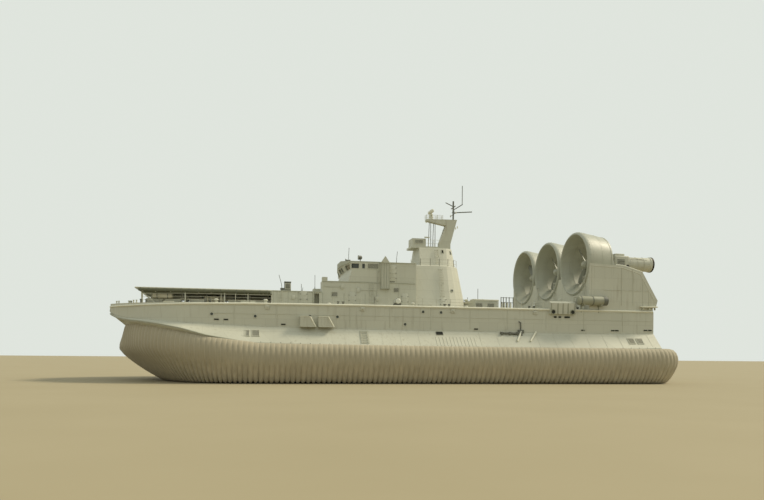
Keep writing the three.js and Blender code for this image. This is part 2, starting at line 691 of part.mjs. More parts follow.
// Propeller blade sections. radius, chord, thickness, pitch angle in degrees
const BLADE = [
  [0.3, 0.34, 0.16, 62],
  [0.9, 0.52, 0.12, 48],
  [1.7, 0.6, 0.08, 34],
  [2.3, 0.54, 0.05, 26],
  [PROP.radius, 0.34, 0.03, 22],
];
const BLADE_SHAPE = [[-0.5, 0], [-0.2, 0.5], [0.25, 0.45], [0.5, 0], [0.25, -0.45], [-0.2, -0.5]];
function propeller() {
  const blade = loft(
    BLADE.map(([radius, chord, thick, pitch]) => {
      const turn = THREE.MathUtils.degToRad(pitch);
      return BLADE_SHAPE.map(([a, b]) => {
        const [along, through] = [a * chord, b * thick];
        return [
          along * Math.sin(turn) + through * Math.cos(turn),
          along * Math.cos(turn) - through * Math.sin(turn),
          radius,
        ];
      });
    }),
  );
  const shaftEnd = NACELLE_FRONT - PROP.x + GAP;
  const hubProfile = [
    [shaftEnd, 0],
    [shaftEnd, 0.2],
    [-0.5, 0.2],
    [-0.5, PROP.hub],
    [0.25, PROP.hub],
    [0.5, 0.3],
    [0.62, 0.12],
    [0.64, 0],
  ];
  const hub = turned(hubProfile, 24);
  const blades = Array.from({ length: PROP.blades }, (_, i) =>
    weld(blade.clone().rotateX(Math.PI / 4 + (i * 2 * Math.PI) / PROP.blades)),
  );
  return join(hub, ...blades);
}

// Rudder blade: a slim section standing on pivots that grow from the duct's wall
const rudderSection = [
  [RUDDER.lead, 0],
  [RUDDER.lead - 0.1, RUDDER.thick / 2],
  [-0.2, RUDDER.thick / 2],
  [-RUDDER.trail, 0.015],
  [-RUDDER.trail, -0.015],
  [-0.2, -RUDDER.thick / 2],
  [RUDDER.lead - 0.1, -RUDDER.thick / 2],
];
const pivots = [-1, 1].flatMap((side) =>
  [-1, 1].map((up) =>
    rod(
      [RUDDER.x, side * RUDDER.offset, up * (RUDDER.half + GAP)],
      [RUDDER.x, side * RUDDER.offset, up * 2.42],
      0.07,
      12,
    ),
  ),
);

const SIDES = [["port", 1], ["centre", 0], ["starboard", -1]];
for (const [side, sign] of SIDES) {
  const unit = new THREE.Group();
  unit.position.set(0, sign * DUCT.pitch * MM, DUCT.z * MM);
  craft.add(unit);
  place(`${side}_duct`, join(ductRing(0), ...pivots), ductPaint, unit);
  place(`${side}_nacelle`, nacelle(sign * DUCT.pitch), hullPaint, unit);
  const screw = place(`${side}_propeller`, sign < 0 ? mirrored(propeller()) : propeller(), propAlloy, unit);
  screw.position.x = PROP.x * MM;
  for (const [where, hand] of [["left", 1], ["right", -1]]) {
    const blade = prism("z", rudderSection, -RUDDER.half, RUDDER.half);
    const rudder = place(`${side}_rudder_${where}`, blade, ductPaint, unit);
    rudder.position.set(RUDDER.x * MM, hand * RUDDER.offset * MM, 0);
  }
}

export default craft;
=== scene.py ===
# Landing hovercraft: the looks of the half-scale model. Metres, +X to the bow, +Y to port, +Z up.
import json
import math

import bpy
from mathutils import Matrix, Vector

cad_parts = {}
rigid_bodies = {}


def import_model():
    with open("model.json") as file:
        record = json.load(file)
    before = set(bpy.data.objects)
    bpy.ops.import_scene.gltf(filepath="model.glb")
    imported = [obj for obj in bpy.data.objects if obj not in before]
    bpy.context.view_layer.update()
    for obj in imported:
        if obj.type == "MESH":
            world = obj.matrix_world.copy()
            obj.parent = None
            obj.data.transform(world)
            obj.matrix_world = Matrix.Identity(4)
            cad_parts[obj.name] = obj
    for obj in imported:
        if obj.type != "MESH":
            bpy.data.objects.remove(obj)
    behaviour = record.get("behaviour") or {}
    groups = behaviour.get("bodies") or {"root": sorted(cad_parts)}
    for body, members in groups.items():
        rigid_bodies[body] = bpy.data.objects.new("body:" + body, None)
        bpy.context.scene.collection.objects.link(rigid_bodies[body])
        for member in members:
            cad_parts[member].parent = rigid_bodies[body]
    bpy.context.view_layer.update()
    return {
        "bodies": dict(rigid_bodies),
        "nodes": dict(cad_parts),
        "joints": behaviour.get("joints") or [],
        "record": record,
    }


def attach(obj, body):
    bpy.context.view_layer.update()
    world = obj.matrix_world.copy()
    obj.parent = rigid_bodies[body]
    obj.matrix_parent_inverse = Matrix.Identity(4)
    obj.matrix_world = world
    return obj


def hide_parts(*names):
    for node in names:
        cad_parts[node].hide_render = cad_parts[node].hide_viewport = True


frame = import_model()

modelScale = 0.5  # pieces are modelled at the full-size craft's sizes, and settle() halves them
print("frame loaded:", len(frame["nodes"]), "nodes")


# Camera: abeam to port, a little ahead of amidships, at a person's height above the ground
camera = {
    "place": (15.69, 78.04, 2.523),  # full-size metres
    "turn": 11.24,  # degrees from square abeam, towards the stern
    "roll": 0.47,
    "lens": 33.785,  # millimetres, on a film this wide
    "film": 36,
    "rise": 0.140,  # the frame's centre lies this share of its width above the horizon
    "far": 2000,
}


def makeCamera():
    data = bpy.data.cameras.new("abeam_camera")
    data.lens = camera["lens"]
    data.sensor_width = camera["film"]
    data.shift_y = camera["rise"]
    data.clip_end = camera["far"]
    turn, roll = math.radians(camera["turn"]), math.radians(camera["roll"])
    ahead = Vector((-math.sin(turn), -math.cos(turn), 0))
    level = ahead.cross(Vector((0, 0, 1))).normalized()
    up = Vector((0, 0, math.cos(roll))) - level * math.sin(roll)
    right = ahead.cross(up).normalized()
    obj = bpy.data.objects.new("abeam_camera", data)
    bpy.context.scene.collection.objects.link(obj)
    facing = Matrix((right, up, -ahead)).transposed().to_4x4()
    obj.matrix_world = Matrix.Translation(Vector(camera["place"]) * modelScale) @ facing
    bpy.context.scene.camera = obj


# Light: a broad high key from astern and a pale sky all round
lighting = {
    "sky": "#d3d8d1",
    "skyStrength": 1.14,
    "key": "#fff3da",
    "keyStrength": 2.95,
    "keyFrom": (-0.71, -0.06, 0.69),
    "keySpread": 13,  # degrees across, which softens the shadows' edges
    "floor": ("#93886a", "#9b9073"),
    "floorSize": 1200,
    "floorDrop": 0.002,
}


def linear(code):  # sRGB hex to linear RGBA
    parts = [int(code[i : i + 2], 16) / 255 for i in (1, 3, 5)]
    return tuple(p / 12.92 if p <= 0.04045 else ((p + 0.055) / 1.055) ** 2.4 for p in parts) + (1.0,)


def addNode(tree, kind, inputs=None, **settings):  # inputs hold values or the sockets to link from
    node = tree.nodes.new(kind)
    for name, value in settings.items():
        setattr(node, name, value)
    for name, value in (inputs or {}).items():
        if isinstance(value, bpy.types.NodeSocket):
            tree.links.new(value, node.inputs[name])
        else:
            node.inputs[name].default_value = value
    return node


def newMaterial(name):
    material = bpy.data.materials.new(name)
    material.use_nodes = True
    material.node_tree.nodes.clear()
    return material, material.node_tree


def closeMaterial(tree, shader):
    addNode(tree, "ShaderNodeOutputMaterial", {"Surface": shader.outputs[0]})


def makeLight():
    world = bpy.data.worlds.new("pale_sky")
    world.use_nodes = True
    backdrop = world.node_tree.nodes["Background"]
    backdrop.inputs["Color"].default_value = linear(lighting["sky"])
    backdrop.inputs["Strength"].default_value = lighting["skyStrength"]
    bpy.context.scene.world = world
    key = bpy.data.lights.new("high_key", "SUN")
    key.color = linear(lighting["key"])[:3]
    key.energy = lighting["keyStrength"]
    key.angle = math.radians(lighting["keySpread"])
    obj = bpy.data.objects.new("high_key", key)
    obj.rotation_euler = Vector(lighting["keyFrom"]).to_track_quat("Z", "Y").to_euler()
    bpy.context.scene.collection.objects.link(obj)
    bpy.context.scene.view_settings.view_transform = "Standard"


def makeFloor():
    clearSelection()
    bpy.ops.mesh.primitive_plane_add(size=lighting["floorSize"], location=(0, 0, -lighting["floorDrop"]))
    floor = bpy.context.object
    floor.name = "pale_floor"
    material, tree = newMaterial("matt_pale_screed")  # fine cement screed, dull all over
    place = addNode(tree, "ShaderNodeTexCoord").outputs["Object"]
    cloud = addNode(tree, "ShaderNodeTexNoise", {"Vector": place, "Scale": 0.25, "Detail": 5.0})
    low, high = (linear(code) for code in lighting["floor"])
    tone = addNode(tree, "ShaderNodeMixRGB", {"Fac": cloud.outputs["Fac"], "Color1": low, "Color2": high})
    shader = addNode(tree, "ShaderNodeBsdfPrincipled", {"Base Color": tone.outputs["Color"], "Roughness": 0.95})
    closeMaterial(tree, shader)
    floor.data.materials.append(material)


# Modelling helpers
def clearSelection():
    if bpy.context.object and bpy.context.object.mode != "OBJECT":
        bpy.ops.object.mode_set(mode="OBJECT")
    bpy.ops.object.select_all(action="DESELECT")


def choose(*objs):
    clearSelection()
    for obj in objs:
        obj.select_set(True)
    bpy.context.view_layer.objects.active = objs[0]
    return objs[0]


def fromPoints(points, faces=(), edges=()):
    mesh = bpy.data.meshes.new("part")
    mesh.from_pydata([tuple(p) for p in points], [tuple(e) for e in edges], [tuple(f) for f in faces])
    obj = bpy.data.objects.new("part", mesh)
    bpy.context.scene.collection.objects.link(obj)
    return choose(obj)


def closeShape(obj):  # merges doubles and turns the faces outwards
    choose(obj)
    bpy.ops.object.mode_set(mode="EDIT")
    bpy.ops.mesh.select_all(action="SELECT")
    bpy.ops.mesh.remove_doubles(threshold=0.0004)
    bpy.ops.mesh.normals_make_consistent(inside=False)
    bpy.ops.object.mode_set(mode="OBJECT")
    return obj


def bandFaces(bands, size):  # quads between each row of points and the next, where a row is a closed ring
    faces = []
    for j in range(bands):
        for i in range(size):
            a, b = j * size + i, j * size + (i + 1) % size
            faces.append((a, b, b + size, a + size))
    return faces


def roundEdges(obj, width, segments=2, angle=32):
    choose(obj)
    edge = obj.modifiers.new("edges", "BEVEL")
    edge.width = width
    edge.segments = segments
    edge.limit_method = "ANGLE"
    edge.angle_limit = math.radians(angle)
    bpy.ops.object.modifier_apply(modifier="edges")
    return obj


def block(x, y, z, bevel=0.02, segments=2):  # each of x, y, z is (low, high)
    clearSelection()
    middle = [(a + b) / 2 for a, b in (x, y, z)]
    bpy.ops.mesh.primitive_cube_add(size=1, location=middle)
    obj = bpy.context.object
    obj.scale = [b - a for a, b in (x, y, z)]
    bpy.ops.object.transform_apply(location=True, rotation=False, scale=True)
    return roundEdges(obj, bevel, segments) if bevel else obj


# A block at each of these places along an axis, wide and tall being its spans on the other two
def slabs(axis, spots, half, wide, tall, bevel=0.01, segments=1):
    made = []
    for spot in spots:
        spans = [wide, tall]
        spans.insert("xyz".index(axis), (spot - half, spot + half))
        made.append(block(*spans, bevel, segments))
    return made


# A flat outline drawn out along an axis: [x, z] along y, [y, z] along x and [x, y] along z
def plate(axis, outline, low, high, bevel=0.0, segments=2):
    points = [list(pair) for pair in outline]
    for point in points:
        point.insert("xyz".index(axis), low)
    obj = fromPoints(points, [range(len(outline))])
    shift = [high - low if name == axis else 0 for name in "xyz"]
    bpy.ops.object.mode_set(mode="EDIT")
    bpy.ops.mesh.select_all(action="SELECT")
    bpy.ops.mesh.extrude_region_move(TRANSFORM_OT_translate={"value": shift})
    bpy.ops.mesh.select_all(action="SELECT")
    bpy.ops.mesh.normals_make_consistent(inside=False)
    bpy.ops.object.mode_set(mode="OBJECT")
    return roundEdges(obj, bevel, segments) if bevel else obj


def spun(profile, steps=64, axis="x"):  # [along, radius] turned round an axis through the origin
    place = {"x": lambda a, r: (a, 0, r), "y": lambda a, r: (r, a, 0), "z": lambda a, r: (r, 0, a)}[axis]
    closed = profile[0] == profile[-1]
    points = profile[:-1] if closed else profile
    count = len(points)
    edges = [(i, (i + 1) % count) for i in range(count if closed else count - 1)]
    obj = fromPoints([place(a, r) for a, r in points], edges=edges)
    bpy.ops.object.mode_set(mode="EDIT")
    bpy.ops.mesh.select_all(action="SELECT")
    turn = [1 if name == axis else 0 for name in "xyz"]
    bpy.ops.mesh.spin(steps=steps, angle=math.tau, center=(0, 0, 0), axis=turn)
    bpy.ops.object.mode_set(mode="OBJECT")
    return closeShape(obj)


def hoop(at, half, inner, outer, steps, axis="x"):  # a flat band round a drum
    section = [(at - half, inner), (at - half, outer), (at + half, outer), (at + half, inner)]
    return spun(section + section[:1], steps, axis)


def pipes(runs, radius, sides=8):  # each run is a list of points along a round bar
    curve = bpy.data.curves.new("runs", "CURVE")
    curve.dimensions = "3D"
    curve.bevel_depth = radius
    curve.bevel_resolution = max(0, sides // 2 - 2)
    curve.use_fill_caps = True
    for run in runs:
        spline = curve.splines.new("POLY")
        spline.points.add(len(run) - 1)
        for point, place in zip(spline.points, run):
            point.co = (*place, 1)
    obj = bpy.data.objects.new("runs", curve)
    bpy.context.scene.collection.objects.link(obj)
    choose(obj)
    bpy.ops.object.convert(target="MESH")
    return bpy.context.object


# A copy with its own mesh, turned, mirrored across y, then moved
def copyOf(obj, shift=(0, 0, 0), turn=None, flip=False):
    twin = obj.copy()
    twin.data = obj.data.copy()
    bpy.context.scene.collection.objects.link(twin)
    if turn:
        twin.data.transform(turn)
    if flip:
        twin.data.transform(Matrix.Scale(-1, 4, (0, 1, 0)))
        twin.data.flip_normals()
    twin.data.transform(Matrix.Translation(shift))
    return twin


def moved(obj, x, y, z):
    obj.data.transform(Matrix.Translation((x, y, z)))
    return obj


def turned(obj, count, start=0.0):  # copies all round the X axis, the model itself is used up
    made = [copyOf(obj, turn=Matrix.Rotation(start + math.tau * k / count, 4, "X")) for k in range(count)]
    bpy.data.objects.remove(obj)
    return made


def fuse(parts):
    choose(*parts)
    if len(parts) > 1:
        bpy.ops.object.join()
    return bpy.context.object


def tint(obj, material):
    obj.data.materials.clear()
    obj.data.materials.append(material)
    return obj


def settle(name, obj, material=None, body="hull", replaces=(), angle=35):
    choose(obj)
    obj.name = name
    obj.data.name = name
    bpy.ops.object.transform_apply(location=True, rotation=True, scale=True)
    obj.data.transform(Matrix.Scale(modelScale, 4))
    if material:
        tint(obj, material)
    bpy.ops.object.shade_smooth_by_angle(angle=math.radians(angle))
    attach(obj, body)
    if replaces:
        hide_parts(*replaces)
    return obj


def settlePair(name, obj, material=None, replaces=(), angle=35):  # the port piece and its mirror image
    for side, piece in (("port", obj), ("starboard", copyOf(obj, flip=True))):
        nodes = [f"{side}_{node}" for node in replaces]
        settle(f"{side}_{name}", piece, material, replaces=nodes, angle=angle)


def paintPair(name, obj, slot="hull_paint", material=None):  # in its slot's own paint unless another is named
    settlePair(name, obj, material or slotMaterials[slot])


# Materials
paints = {
    "hull": {"name": "weathered_naval_paint", "base": "#c0bfae", "shade": "#b0af9e", "stain": "#8b826a",
             "bleach": "#d0cfbe", "plate": (0.95, 0.6), "rough": 0.58, "streaks": 0.42},
    "deck": {"name": "nonskid_deck_paint", "base": "#adad9c", "shade": "#9b9b89", "stain": "#857b64",
             "bleach": "#c0beae", "plate": (1.2, 1.2), "rough": 0.85, "streaks": 0.2},
    "duct": {"name": "satin_duct_enamel", "base": "#a9aa9a", "shade": "#9b9c8c", "stain": "#8a8069",
             "bleach": "#c6c7b8", "plate": (0.66, 0.66), "rough": 0.45, "streaks": 0.25},
}


# Alkyd paint rolled on welded aluminium plate: satin where it is whole, and chalky and stained where
# water runs off.
def paintedPlate(look):
    material, tree = newMaterial(look["name"])
    place = addNode(tree, "ShaderNodeTexCoord").outputs["Object"]
    axes = addNode(tree, "ShaderNodeSeparateXYZ", {"Vector": place})
    facing = addNode(tree, "ShaderNodeNewGeometry").outputs["Normal"]
    tilt = addNode(tree, "ShaderNodeSeparateXYZ", {"Vector": facing})
    level = addNode(tree, "ShaderNodeMath", {0: tilt.outputs["Z"], 1: 0.75}, operation="GREATER_THAN")

    # Plates: across walls the seams follow length and height, on decks length and breadth
    along = addNode(tree, "ShaderNodeMath", {0: axes.outputs["X"], 1: axes.outputs["Y"]}, operation="ADD")
    wall = addNode(tree, "ShaderNodeCombineXYZ", {"X": along.outputs[0], "Y": axes.outputs["Z"]})
    flat = addNode(tree, "ShaderNodeCombineXYZ", {"X": axes.outputs["X"], "Y": axes.outputs["Y"]})
    spread = addNode(tree, "ShaderNodeMix",
                     {"Factor": level.outputs[0], 4: wall.outputs[0], 5: flat.outputs[0]}, data_type="VECTOR")
    width, height = look["plate"]
    seams = addNode(tree, "ShaderNodeTexBrick",
                    {"Vector": spread.outputs[1], "Scale": 1.0, "Mortar Size": 0.004, "Mortar Smooth": 0.3,
                     "Bias": 0.0, "Brick Width": width, "Row Height": height,
                     "Color1": (0.42, 0.42, 0.42, 1), "Color2": (0.58, 0.58, 0.58, 1), "Mortar": (0, 0, 0, 1)})

    # Cloudy change of tone, runs below edges and ledges, and small scuffs
    cloud = addNode(tree, "ShaderNodeTexNoise", {"Vector": place, "Scale": 0.55, "Detail": 6.0, "Roughness": 0.6})
    drawn = addNode(tree, "ShaderNodeMapping", {"Vector": place, "Scale": (5.0, 5.0, 0.55)})
    runs = addNode(tree, "ShaderNodeTexNoise", {"Vector": drawn.outputs[0], "Scale": 1.6, "Detail": 4.0})
    runMask = addNode(tree, "ShaderNodeMapRange",
                      {"Value": runs.outputs["Fac"], "From Min": 0.55, "From Max": 0.78, "To Max": look["streaks"]})
    patches = addNode(tree, "ShaderNodeTexNoise", {"Vector": place, "Scale": 0.22, "Detail": 2.0})
    patchMask = addNode(tree, "ShaderNodeMapRange",
                        {"Value": patches.outputs["Fac"], "From Min": 0.4, "From Max": 0.62})
    runShare = addNode(tree, "ShaderNodeMath", {0: runMask.outputs[0], 1: patchMask.outputs[0]}, operation="MULTIPLY")
    scuffs = addNode(tree, "ShaderNodeTexNoise", {"Vector": place, "Scale": 9.0, "Detail": 8.0, "Roughness": 0.7})
    scuffMask = addNode(tree, "ShaderNodeMapRange",
                        {"Value": scuffs.outputs["Fac"], "From Min": 0.6, "From Max": 0.72, "To Max": 0.35})
    seamTone = addNode(tree, "ShaderNodeMapRange",
                       {"Value": seams.outputs["Fac"], "From Min": 0.0, "From Max": 1.0, "To Max": 0.28})

    first = {"Factor": cloud.outputs["Fac"], 6: linear(look["base"]), 7: linear(look["shade"])}
    colour = addNode(tree, "ShaderNodeMix", first, data_type="RGBA")
    for name, share in (("stain", runShare), ("bleach", scuffMask), ("stain", seamTone)):
        coat = {"Factor": share.outputs[0], 6: colour.outputs[2], 7: linear(look[name])}
        colour = addNode(tree, "ShaderNodeMix", coat, data_type="RGBA")

    # Each plate is a shade lighter or darker than the next
    each = {"Factor": 0.16, 6: colour.outputs[2], 7: seams.outputs["Color"]}
    plateTone = addNode(tree, "ShaderNodeMix", each, data_type="RGBA", blend_type="OVERLAY")

    rough = addNode(tree, "ShaderNodeMapRange",
                    {"Value": scuffs.outputs["Fac"], "To Min": look["rough"] - 0.1, "To Max": look["rough"] + 0.12})
    dents = addNode(tree, "ShaderNodeTexNoise", {"Vector": place, "Scale": 1.7, "Detail": 2.0})
    warp = addNode(tree, "ShaderNodeBump", {"Height": dents.outputs["Fac"], "Strength": 0.25, "Distance": 0.02})
    grit = addNode(tree, "ShaderNodeBump",
                   {"Height": scuffs.outputs["Fac"], "Strength": 0.2, "Distance": 0.004, "Normal": warp.outputs[0]})
    weld = addNode(tree, "ShaderNodeBump",
                   {"Height": seams.outputs["Fac"], "Strength": 0.35, "Distance": 0.006, "Normal": grit.outputs[0]})
    shader = addNode(tree, "ShaderNodeBsdfPrincipled",
                     {"Base Color": plateTone.outputs[2], "Roughness": rough.outputs[0], "Normal": weld.outputs[0]})
    closeMaterial(tree, shader)
    return material


# Plain finishes: name, two tones, roughness, metallic and grain in millimetres
finishes = {
    "darkSteel": {"name": "grey_painted_steel", "tones": ("#6b6c61", "#58594f"), "rough": 0.55, "metal": 0.0,
                  "grain": 30},
    "bladeAlloy": {"name": "grey_coated_blade_alloy", "tones": ("#8c8e84", "#7c7e75"), "rough": 0.42, "metal": 0.3,
                   "grain": 60},
    "whiteGel": {"name": "white_gelcoat", "tones": ("#dcdccf", "#c9c8b8"), "rough": 0.4, "metal": 0.0, "grain": 80},
    # Near-black: painted shade for the unlit space inside openings, vents and holes
    "openingShade": {"name": "painted_shade_in_openings", "tones": ("#26271f", "#1d1e18"), "rough": 0.9, "metal": 0.0,
                    "grain": 40},
    "bareMetal": {"name": "worn_bare_aluminium", "tones": ("#b6b6aa", "#9a9a8e"), "rough": 0.36, "metal": 0.9,
                  "grain": 25},
    # Dark steel: heat stain on the exhaust, and painted shade in the nacelles' cooling holes
    "heatStainAndHoleShade": {"name": "heat_stained_steel_and_painted_hole_shade", "tones": ("#4d463b", "#322f2a"), "rough": 0.6, "metal": 0.6,
                  "grain": 90},
    # Near-white paint: the own paint of white parts, and painted highlight and painted light where edges and the
    # shelter's lining use it
    "whitePaintAndPaintedLight": {"name": "chalky_white_paint_and_painted_light", "tones": ("#dfddcb", "#cbc8b4"), "rough": 0.75, "metal": 0.0,
                  "grain": 45},
    # Dark grey-green cloth: painted shade for the shaded band under the shelter's roof
    "awningShade": {"name": "dark_awning_cloth_painted_shade", "tones": ("#666751", "#575847"), "rough": 0.9, "metal": 0.0,
               "grain": 18},
    # Darker paint: soot stain on the exhaust casing, and painted shade over the side tank
    "sootAndShadePaint": {"name": "soot_stain_and_painted_shade", "tones": ("#9c9c8a", "#86866f"), "rough": 0.6, "metal": 0.0,
                  "grain": 70},
    "canvas": {"name": "bleached_cotton_canvas", "tones": ("#c0baa2", "#a8a28a"), "rough": 0.9, "metal": 0.0,
               "grain": 15},
    "fenderRubber": {"name": "black_fender_rubber", "tones": ("#3b3a34", "#2c2b27"), "rough": 0.8, "metal": 0.0,
                     "grain": 20},
}


def plainFinish(look):
    material, tree = newMaterial(look["name"])
    place = addNode(tree, "ShaderNodeTexCoord").outputs["Object"]
    cloud = addNode(tree, "ShaderNodeTexNoise",
                    {"Vector": place, "Scale": 1000 / (6 * look["grain"]), "Detail": 6.0, "Roughness": 0.65})
    low, high = (linear(code) for code in look["tones"])
    tone = addNode(tree, "ShaderNodeMix", {"Factor": cloud.outputs["Fac"], 6: low, 7: high}, data_type="RGBA")
    rough = addNode(tree, "ShaderNodeMapRange",
                    {"Value": cloud.outputs["Fac"], "To Min": look["rough"] - 0.12, "To Max": look["rough"] + 0.12})
    bump = addNode(tree, "ShaderNodeBump", {"Height": cloud.outputs["Fac"], "Strength": 0.2, "Distance": 0.003})
    shader = addNode(tree, "ShaderNodeBsdfPrincipled",
                     {"Base Color": tone.outputs[2], "Roughness": rough.outputs[0], "Normal": bump.outputs[0],
                      "Metallic": look["metal"]})
    closeMaterial(tree, shader)
    return material


# Toughened window glass, opaque and near black as painted shade for the dark cabin behind it, with a clear gloss and
# a little grime at the edges.
def windowGlass():
    material, tree = newMaterial("toughened_glass_painted_cabin_shade")
    place = addNode(tree, "ShaderNodeTexCoord").outputs["Object"]
    grime = addNode(tree, "ShaderNodeTexNoise", {"Vector": place, "Scale": 14.0, "Detail": 4.0})
    low, high = (linear(code) for code in ("#33372f", "#43473c"))
    tone = addNode(tree, "ShaderNodeMix", {"Factor": grime.outputs["Fac"], 6: low, 7: high}, data_type="RGBA")
    rough = addNode(tree, "ShaderNodeMapRange", {"Value": grime.outputs["Fac"], "To Min": 0.06, "To Max": 0.22})
    shader = addNode(tree, "ShaderNodeBsdfPrincipled",
                     {"Base Color": tone.outputs[2], "Roughness": rough.outputs[0], "IOR": 1.5})
    closeMaterial(tree, shader)
    return material


# Rubber-coated nylon skirt fabric: dull, dusty, with taped seams at every rib, painted shade in each valley
# between ribs, and sand caked towards the ground.
# Its UV map counts ribs across and runs from the top edge to the finger tips.
skirtLook = {"base": "#a79e87", "shade": "#908770", "tape": "#c0b79e", "creaseShade": "#645d4d", "dust": "#c2b69a",
             "weave": 9}


def skirtFabric():
    material, tree = newMaterial("dusty_coated_nylon")
    coords = addNode(tree, "ShaderNodeTexCoord")
    place = coords.outputs["Object"]
    across = addNode(tree, "ShaderNodeSeparateXYZ", {"Vector": coords.outputs["UV"]})
    height = addNode(tree, "ShaderNodeSeparateXYZ", {"Vector": place})
    cloud = addNode(tree, "ShaderNodeTexNoise", {"Vector": place, "Scale": 0.8, "Detail": 7.0, "Roughness": 0.62})
    fold = addNode(tree, "ShaderNodeMath", {0: across.outputs["X"], 1: 0.5}, operation="PINGPONG")
    tape = addNode(tree, "ShaderNodeMapRange",
                   {"Value": fold.outputs[0], "From Min": 0.05, "From Max": 0.09, "To Min": 0.55, "To Max": 0.0})
    # painted shade: darker colour right in each valley between ribs
    creaseShade = addNode(tree, "ShaderNodeMapRange",
                     {"Value": fold.outputs[0], "From Min": 0.0, "From Max": 0.02, "To Min": 0.6, "To Max": 0.0})
    drawn = addNode(tree, "ShaderNodeMapping", {"Vector": place, "Scale": (4.0, 4.0, 0.6)})
    smears = addNode(tree, "ShaderNodeTexNoise", {"Vector": drawn.outputs[0], "Scale": 1.5, "Detail": 5.0})
    low = addNode(tree, "ShaderNodeMapRange",
                  {"Value": height.outputs["Z"], "From Min": 0.0, "From Max": 1.5, "To Min": 0.75, "To Max": 0.12})
    dusted = addNode(tree, "ShaderNodeMath", {0: smears.outputs["Fac"], 1: low.outputs[0]}, operation="MULTIPLY")
    dustMask = addNode(tree, "ShaderNodeMapRange", {"Value": dusted.outputs[0], "From Min": 0.1, "From Max": 0.5})
    first = {"Factor": cloud.outputs["Fac"], 6: linear(skirtLook["base"]), 7: linear(skirtLook["shade"])}
    colour = addNode(tree, "ShaderNodeMix", first, data_type="RGBA")
    for name, share in (("tape", tape), ("creaseShade", creaseShade), ("dust", dustMask)):
        coat = {"Factor": share.outputs[0], 6: colour.outputs[2], 7: linear(skirtLook[name])}
        colour = addNode(tree, "ShaderNodeMix", coat, data_type="RGBA")
    # The real weave is under a millimetre, so it is drawn coarser to show
    weave = addNode(tree, "ShaderNodeTexChecker", {"Vector": place, "Scale": 1000 / skirtLook["weave"]})
    cloth = addNode(tree, "ShaderNodeBump", {"Height": weave.outputs["Fac"], "Strength": 0.06, "Distance": 0.002})
    wrinkles = addNode(tree, "ShaderNodeBump",
                       {"Height": cloud.outputs["Fac"], "Strength": 0.5, "Distance": 0.03,
                        "Normal": cloth.outputs[0]})
    shader = addNode(tree, "ShaderNodeBsdfPrincipled",
                     {"Base Color": colour.outputs[2], "Normal": wrinkles.outputs[0], "Roughness": 0.82,
                      "Sheen Weight": 0.15})
    closeMaterial(tree, shader)
    return material


print("materials")
hullPaint = paintedPlate(paints["hull"])
deckPaint = paintedPlate(paints["deck"])
ductPaint = paintedPlate(paints["duct"])
skirtCloth = skirtFabric()
glass = windowGlass()
darkSteel, bladeAlloy, whiteGel, openingShade = (
    plainFinish(finishes[name]) for name in ("darkSteel", "bladeAlloy", "whiteGel", "openingShade")
)
bareMetal, heatStainAndHoleShade, fenderRubber, whitePaintAndPaintedLight = (
    plainFinish(finishes[name]) for name in ("bareMetal", "heatStainAndHoleShade", "fenderRubber", "whitePaintAndPaintedLight")
)
canvas, awningShade, sootAndShadePaint = (plainFinish(finishes[name]) for name in ("canvas", "awningShade", "sootAndShadePaint"))
slotMaterials = {
    "hull_paint": hullPaint, "deck_paint": deckPaint, "duct_paint": ductPaint, "skirt_rubber": skirtCloth,
    "propeller_alloy": bladeAlloy, "dark_steel": darkSteel, "white_paint": whiteGel,
}


def dressNodes():
    slots = {part["node"]: part["material_slot"] for part in frame["record"]["subparts"]}
    for name, obj in frame["nodes"].items():
        tint(obj, slotMaterials[slots[name]])


# Skirt: x, y of the pontoon's side, height of the bag's top, how far the foot is drawn in, outward x and y
bowShore = [
    (14.0, 10.4, 3.75, 0.0), (17.0, 10.3, 4.15, 0.3), (19.5, 9.6, 4.7, 1.0), (21.6, 8.3, 5.4, 1.8),
    (23.3, 6.4, 5.9, 2.6), (24.5, 4.3, 6.1, 3.0), (24.85, 3.4, 5.2, 3.1), (25.1, 2.6, 4.45, 3.2),
    (25.2, 0.0, 4.4, 3.2),
]
sideShore = [(x, 10.4, top, 0.0, 0.0, 1.0) for x, top in ((-24.5, 3.6), (-5.0, 3.6), (8.0, 3.68), (14.0, 3.75))]
sternShore = [
    (-24.5, 10.4, 3.6, 0.0, 0.0, 1.0), (-25.4, 10.4, 3.6, 0.0, -0.1, 1.0), (-26.0, 10.4, 3.6, 0.0, -0.35, 1.0),
    (-26.15, 10.35, 3.6, 0.0, -0.8, 0.85), (-26.25, 10.2, 3.6, 0.0, -1.0, 0.4), (-26.25, 9.0, 3.6, 0.0, -1.0, 0.0),
    (-26.25, 0.0, 3.6, 0.0, -1.0, 0.0),
]
skirt = {
    "pitch": 0.48,  # from rib to rib
    "columns": 8,  # of faces in one rib
    "steps": 40,  # between two rows of the shore
    "girth": 2.3,  # the ribs are spaced along a line this far out
    "round": 0.7,  # power that flattens each rib's crown
    "pillow": 0.07,  # depth of the valleys in the bag
    "finger": 0.16,  # and in the fingers below it
    "notch": 0.22,  # the gap between two finger tips is this high
    "tips": 0.6,  # height below which the gaps open
    "rake": 3.2,  # the foot is drawn in below this height
    "topAt": 3.45,  # the section's own top
    # distance out, height, and how much of the finger's depth shows there
    "section": [
        (0.02, 3.45, 0.0), (1.1, 3.46, 0.0), (1.62, 3.44, 0.15), (1.95, 3.32, 0.6), (2.2, 3.05, 1.0),
        (2.34, 2.7, 1.0),
        (2.385, 2.35, 1.0), (2.37, 2.0, 1.0), (2.3, 1.7, 1.1), (2.2, 1.45, 1.6), (2.08, 1.15, 2.0), (1.93, 0.85, 2.0),
        (1.75, 0.55, 2.0), (1.55, 0.28, 2.0), (1.33, 0.06, 1.6), (1.1, 0.03, 1.0), (0.8, 0.06, 0.5),
        (0.55, 0.35, 0.0),
        (0.3, 1.2, 0.0), (0.02, 2.28, 0.0),
    ],
}
